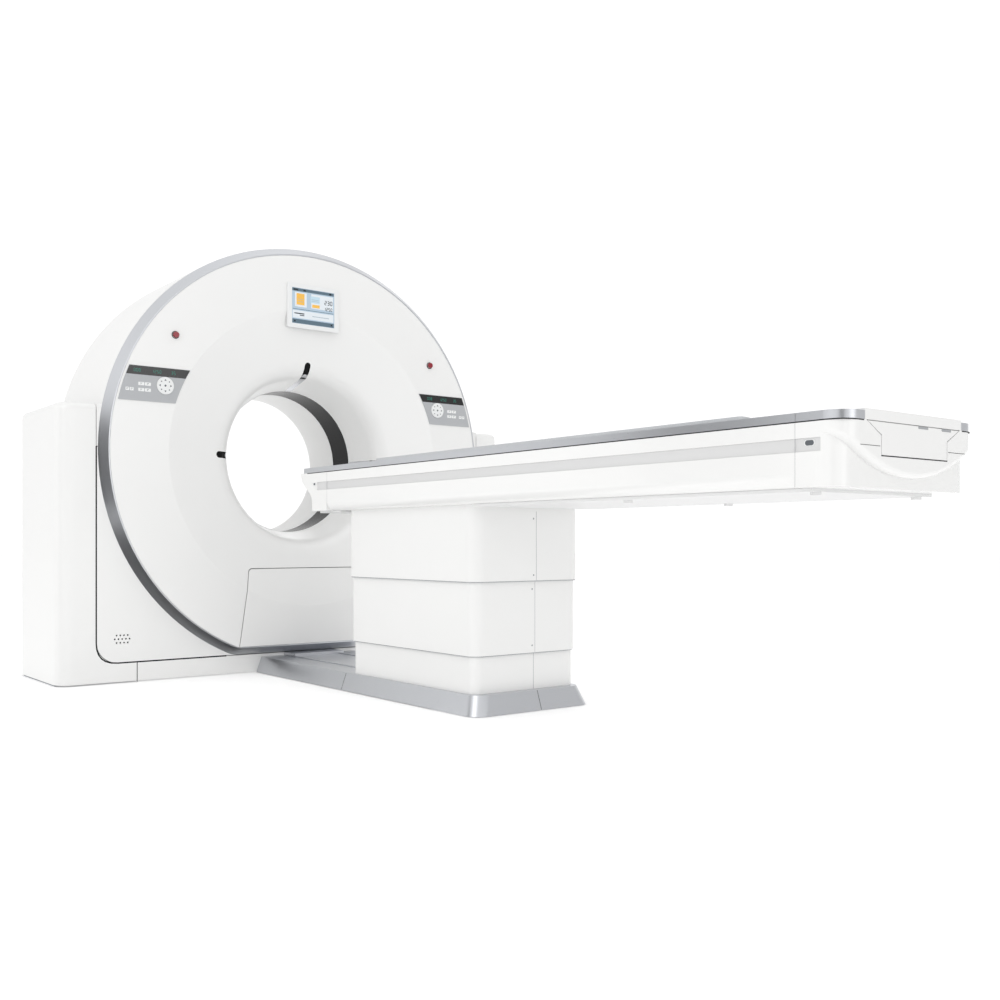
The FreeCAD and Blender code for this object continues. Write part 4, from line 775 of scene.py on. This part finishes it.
class StageSizes(PropertyGroup):
    """Camera, floor and light."""
    lens: FloatProperty(name="Lens", description="Focal length in millimetres", default=39.2)
    heading: FloatProperty(name="Heading", description="Camera's turn from straight at the bore", subtype="ANGLE",
                           default=math.radians(-38.235))
    eye: FloatVectorProperty(name="Eye", description="Place of the camera", subtype="XYZ", unit="LENGTH",
                             default=(-2.504, -5.023, 0.6045))
    shift: FloatVectorProperty(name="Shift", description="Shift of the lens", size=2, default=(-0.006, 0.043))
    floor_radius: FloatProperty(name="Floor", description="Radius of the floor", unit="LENGTH", default=60.0)
    sky: FloatProperty(name="Sky", description="Strength of the even light from all round", default=0.95)
    key: FloatProperty(name="Key light", description="Power of the key light", default=40.0)


class SCANNER_OT_stage(Operator):
    """Set up the pale floor, the soft light and the camera"""
    bl_idname = "scanner.stage"
    bl_label = "Stage"

    def execute(self, context):
        sizes = context.scene.scanner_stage
        scene = context.scene
        scene.view_settings.view_transform = "Standard"
        camera = bpy.data.cameras.new("camera")
        camera.lens = sizes.lens
        camera.sensor_width = 36.0
        camera.shift_x, camera.shift_y = sizes.shift
        eye = bpy.data.objects.new("camera", camera)
        eye.location = sizes.eye
        eye.rotation_euler = (math.pi / 2, 0, sizes.heading)
        scene.collection.objects.link(eye)
        scene.camera = eye
        self.floor(scene, sizes)
        self.sky(scene, sizes)
        self.lights(scene, sizes)
        self.cards(scene)
        return {"FINISHED"}

    def floor(self, scene, sizes):
        """A wide round floor of matt white studio paint that glows a little, as an overlit cove does."""
        mesh = bpy.data.meshes.new("floor")
        rim = disc(sizes.floor_radius, 96)
        mesh.from_pydata(np.column_stack([rim, np.full(len(rim), FLOOR_HEIGHT)]).tolist(), [],
                         [tuple(range(len(rim)))])
        paint = finish("studio_paint", "E9E9E9", 0.9, 4.0, bump=0.02, mottle=0.02, **{
            "Emission Color": linear("FFFFFF"), "Emission Strength": 0.3, "Specular IOR Level": 0.0})
        mesh.materials.append(paint)
        floor = bpy.data.objects.new("floor", mesh)
        scene.collection.objects.link(floor)

    def cards(self, scene):
        """Matt dark cards for the silver ring to mirror, which neither the camera nor soft light meets."""
        black = finish("card_felt", "17171A", 0.95, 3.0, bump=0.02, **{"Specular IOR Level": 0.0})
        for name, (middle, size, facing) in CARDS.items():
            mesh = bpy.data.meshes.new(name)
            corners = np.array([(-1, -1), (1, -1), (1, 1), (-1, 1)]) * np.array(size) / 2
            flat = 0 * corners[:, 0]
            points = np.column_stack([flat, corners] if facing == "X" else [corners, flat])
            mesh.from_pydata((points + np.array(middle)).tolist(), [], [(0, 1, 2, 3)])
            mesh.materials.append(black)
            card = bpy.data.objects.new(name, mesh)
            card.visible_camera = card.visible_diffuse = card.visible_shadow = card.visible_transmission = False
            scene.collection.objects.link(card)

    def sky(self, scene, sizes):
        """A white surround with grey flags in it: it is seen as pure white, and lights the object softly."""
        world = bpy.data.worlds.new("surround")
        world.use_nodes = True
        scene.world = world
        tree = world.node_tree
        tree.nodes.clear()
        seen = add(tree, "ShaderNodeLightPath").outputs["Is Camera Ray"]
        ray = add(tree, "ShaderNodeTexCoord").outputs["Generated"]
        strength = sizes.sky
        for towards, start, end, depth in FLAGS:
            facing = add(tree, "ShaderNodeVectorMath", {0: ray, 1: towards}, operation="DOT_PRODUCT")
            shade = add(tree, "ShaderNodeMapRange", {
                "Value": facing.outputs["Value"], "From Min": start, "From Max": end,
                "To Min": 1.0, "To Max": depth}, interpolation_type="SMOOTHSTEP")
            strength = add(tree, "ShaderNodeMath", {0: strength, 1: shade.outputs["Result"]},
                           operation="MULTIPLY").outputs[0]
        glow = add(tree, "ShaderNodeBackground", {"Color": (1, 1, 1, 1), "Strength": strength})
        white = add(tree, "ShaderNodeBackground", {"Color": (1, 1, 1, 1), "Strength": 1.1})
        both = add(tree, "ShaderNodeMixShader", {0: seen, 1: glow.outputs[0], 2: white.outputs[0]})
        add(tree, "ShaderNodeOutputWorld", {"Surface": both.outputs[0]})

    def lights(self, scene, sizes):
        """Large soft boxes: the key at the camera's left, and others over the table, far in front and behind."""
        for name, (place, aim, width, share) in SOFT_BOXES.items():
            lamp = bpy.data.lights.new(name, "AREA")
            lamp.shape = "SQUARE"
            lamp.size = width
            lamp.energy = share * sizes.key
            box = bpy.data.objects.new(name, lamp)
            box.location = place
            away = np.subtract(place, aim)
            box.rotation_euler = (math.atan2(math.hypot(away[0], away[1]), away[2]), 0,
                                  math.atan2(away[1], away[0]) + math.pi / 2)
            scene.collection.objects.link(box)


CLASSES = (ScannerColours, ConsoleSizes, JointSizes, StageSizes, SCANNER_OT_finishes, SCANNER_OT_consoles,
           SCANNER_OT_screen, SCANNER_OT_joints, SCANNER_OT_stage)
GROUPS = {"scanner_colours": ScannerColours, "scanner_consoles": ConsoleSizes, "scanner_joints": JointSizes,
          "scanner_stage": StageSizes}


class SCANNER_PT_steps(Panel):
    """The steps of the finish, in their order"""
    bl_idname = "SCANNER_PT_steps"
    bl_label = "Scanner"
    bl_space_type = "VIEW_3D"
    bl_region_type = "UI"
    bl_category = "Scanner"

    def draw(self, context):
        for made in CLASSES:
            if issubclass(made, Operator):
                self.layout.operator(made.bl_idname)


def register():
    for made in CLASSES + (SCANNER_PT_steps,):
        bpy.utils.register_class(made)
    for name, made in GROUPS.items():
        setattr(bpy.types.Scene, name, PointerProperty(type=made))


def unregister():
    for name in GROUPS:
        delattr(bpy.types.Scene, name)
    for made in reversed(CLASSES + (SCANNER_PT_steps,)):
        bpy.utils.unregister_class(made)


def main():
    """Registers the classes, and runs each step."""
    register()
    bpy.ops.scanner.stage()
    bpy.ops.scanner.finishes()
    bpy.ops.scanner.consoles()
    bpy.ops.scanner.screen()
    bpy.ops.scanner.joints()


if __name__ == "__main__":
    main()
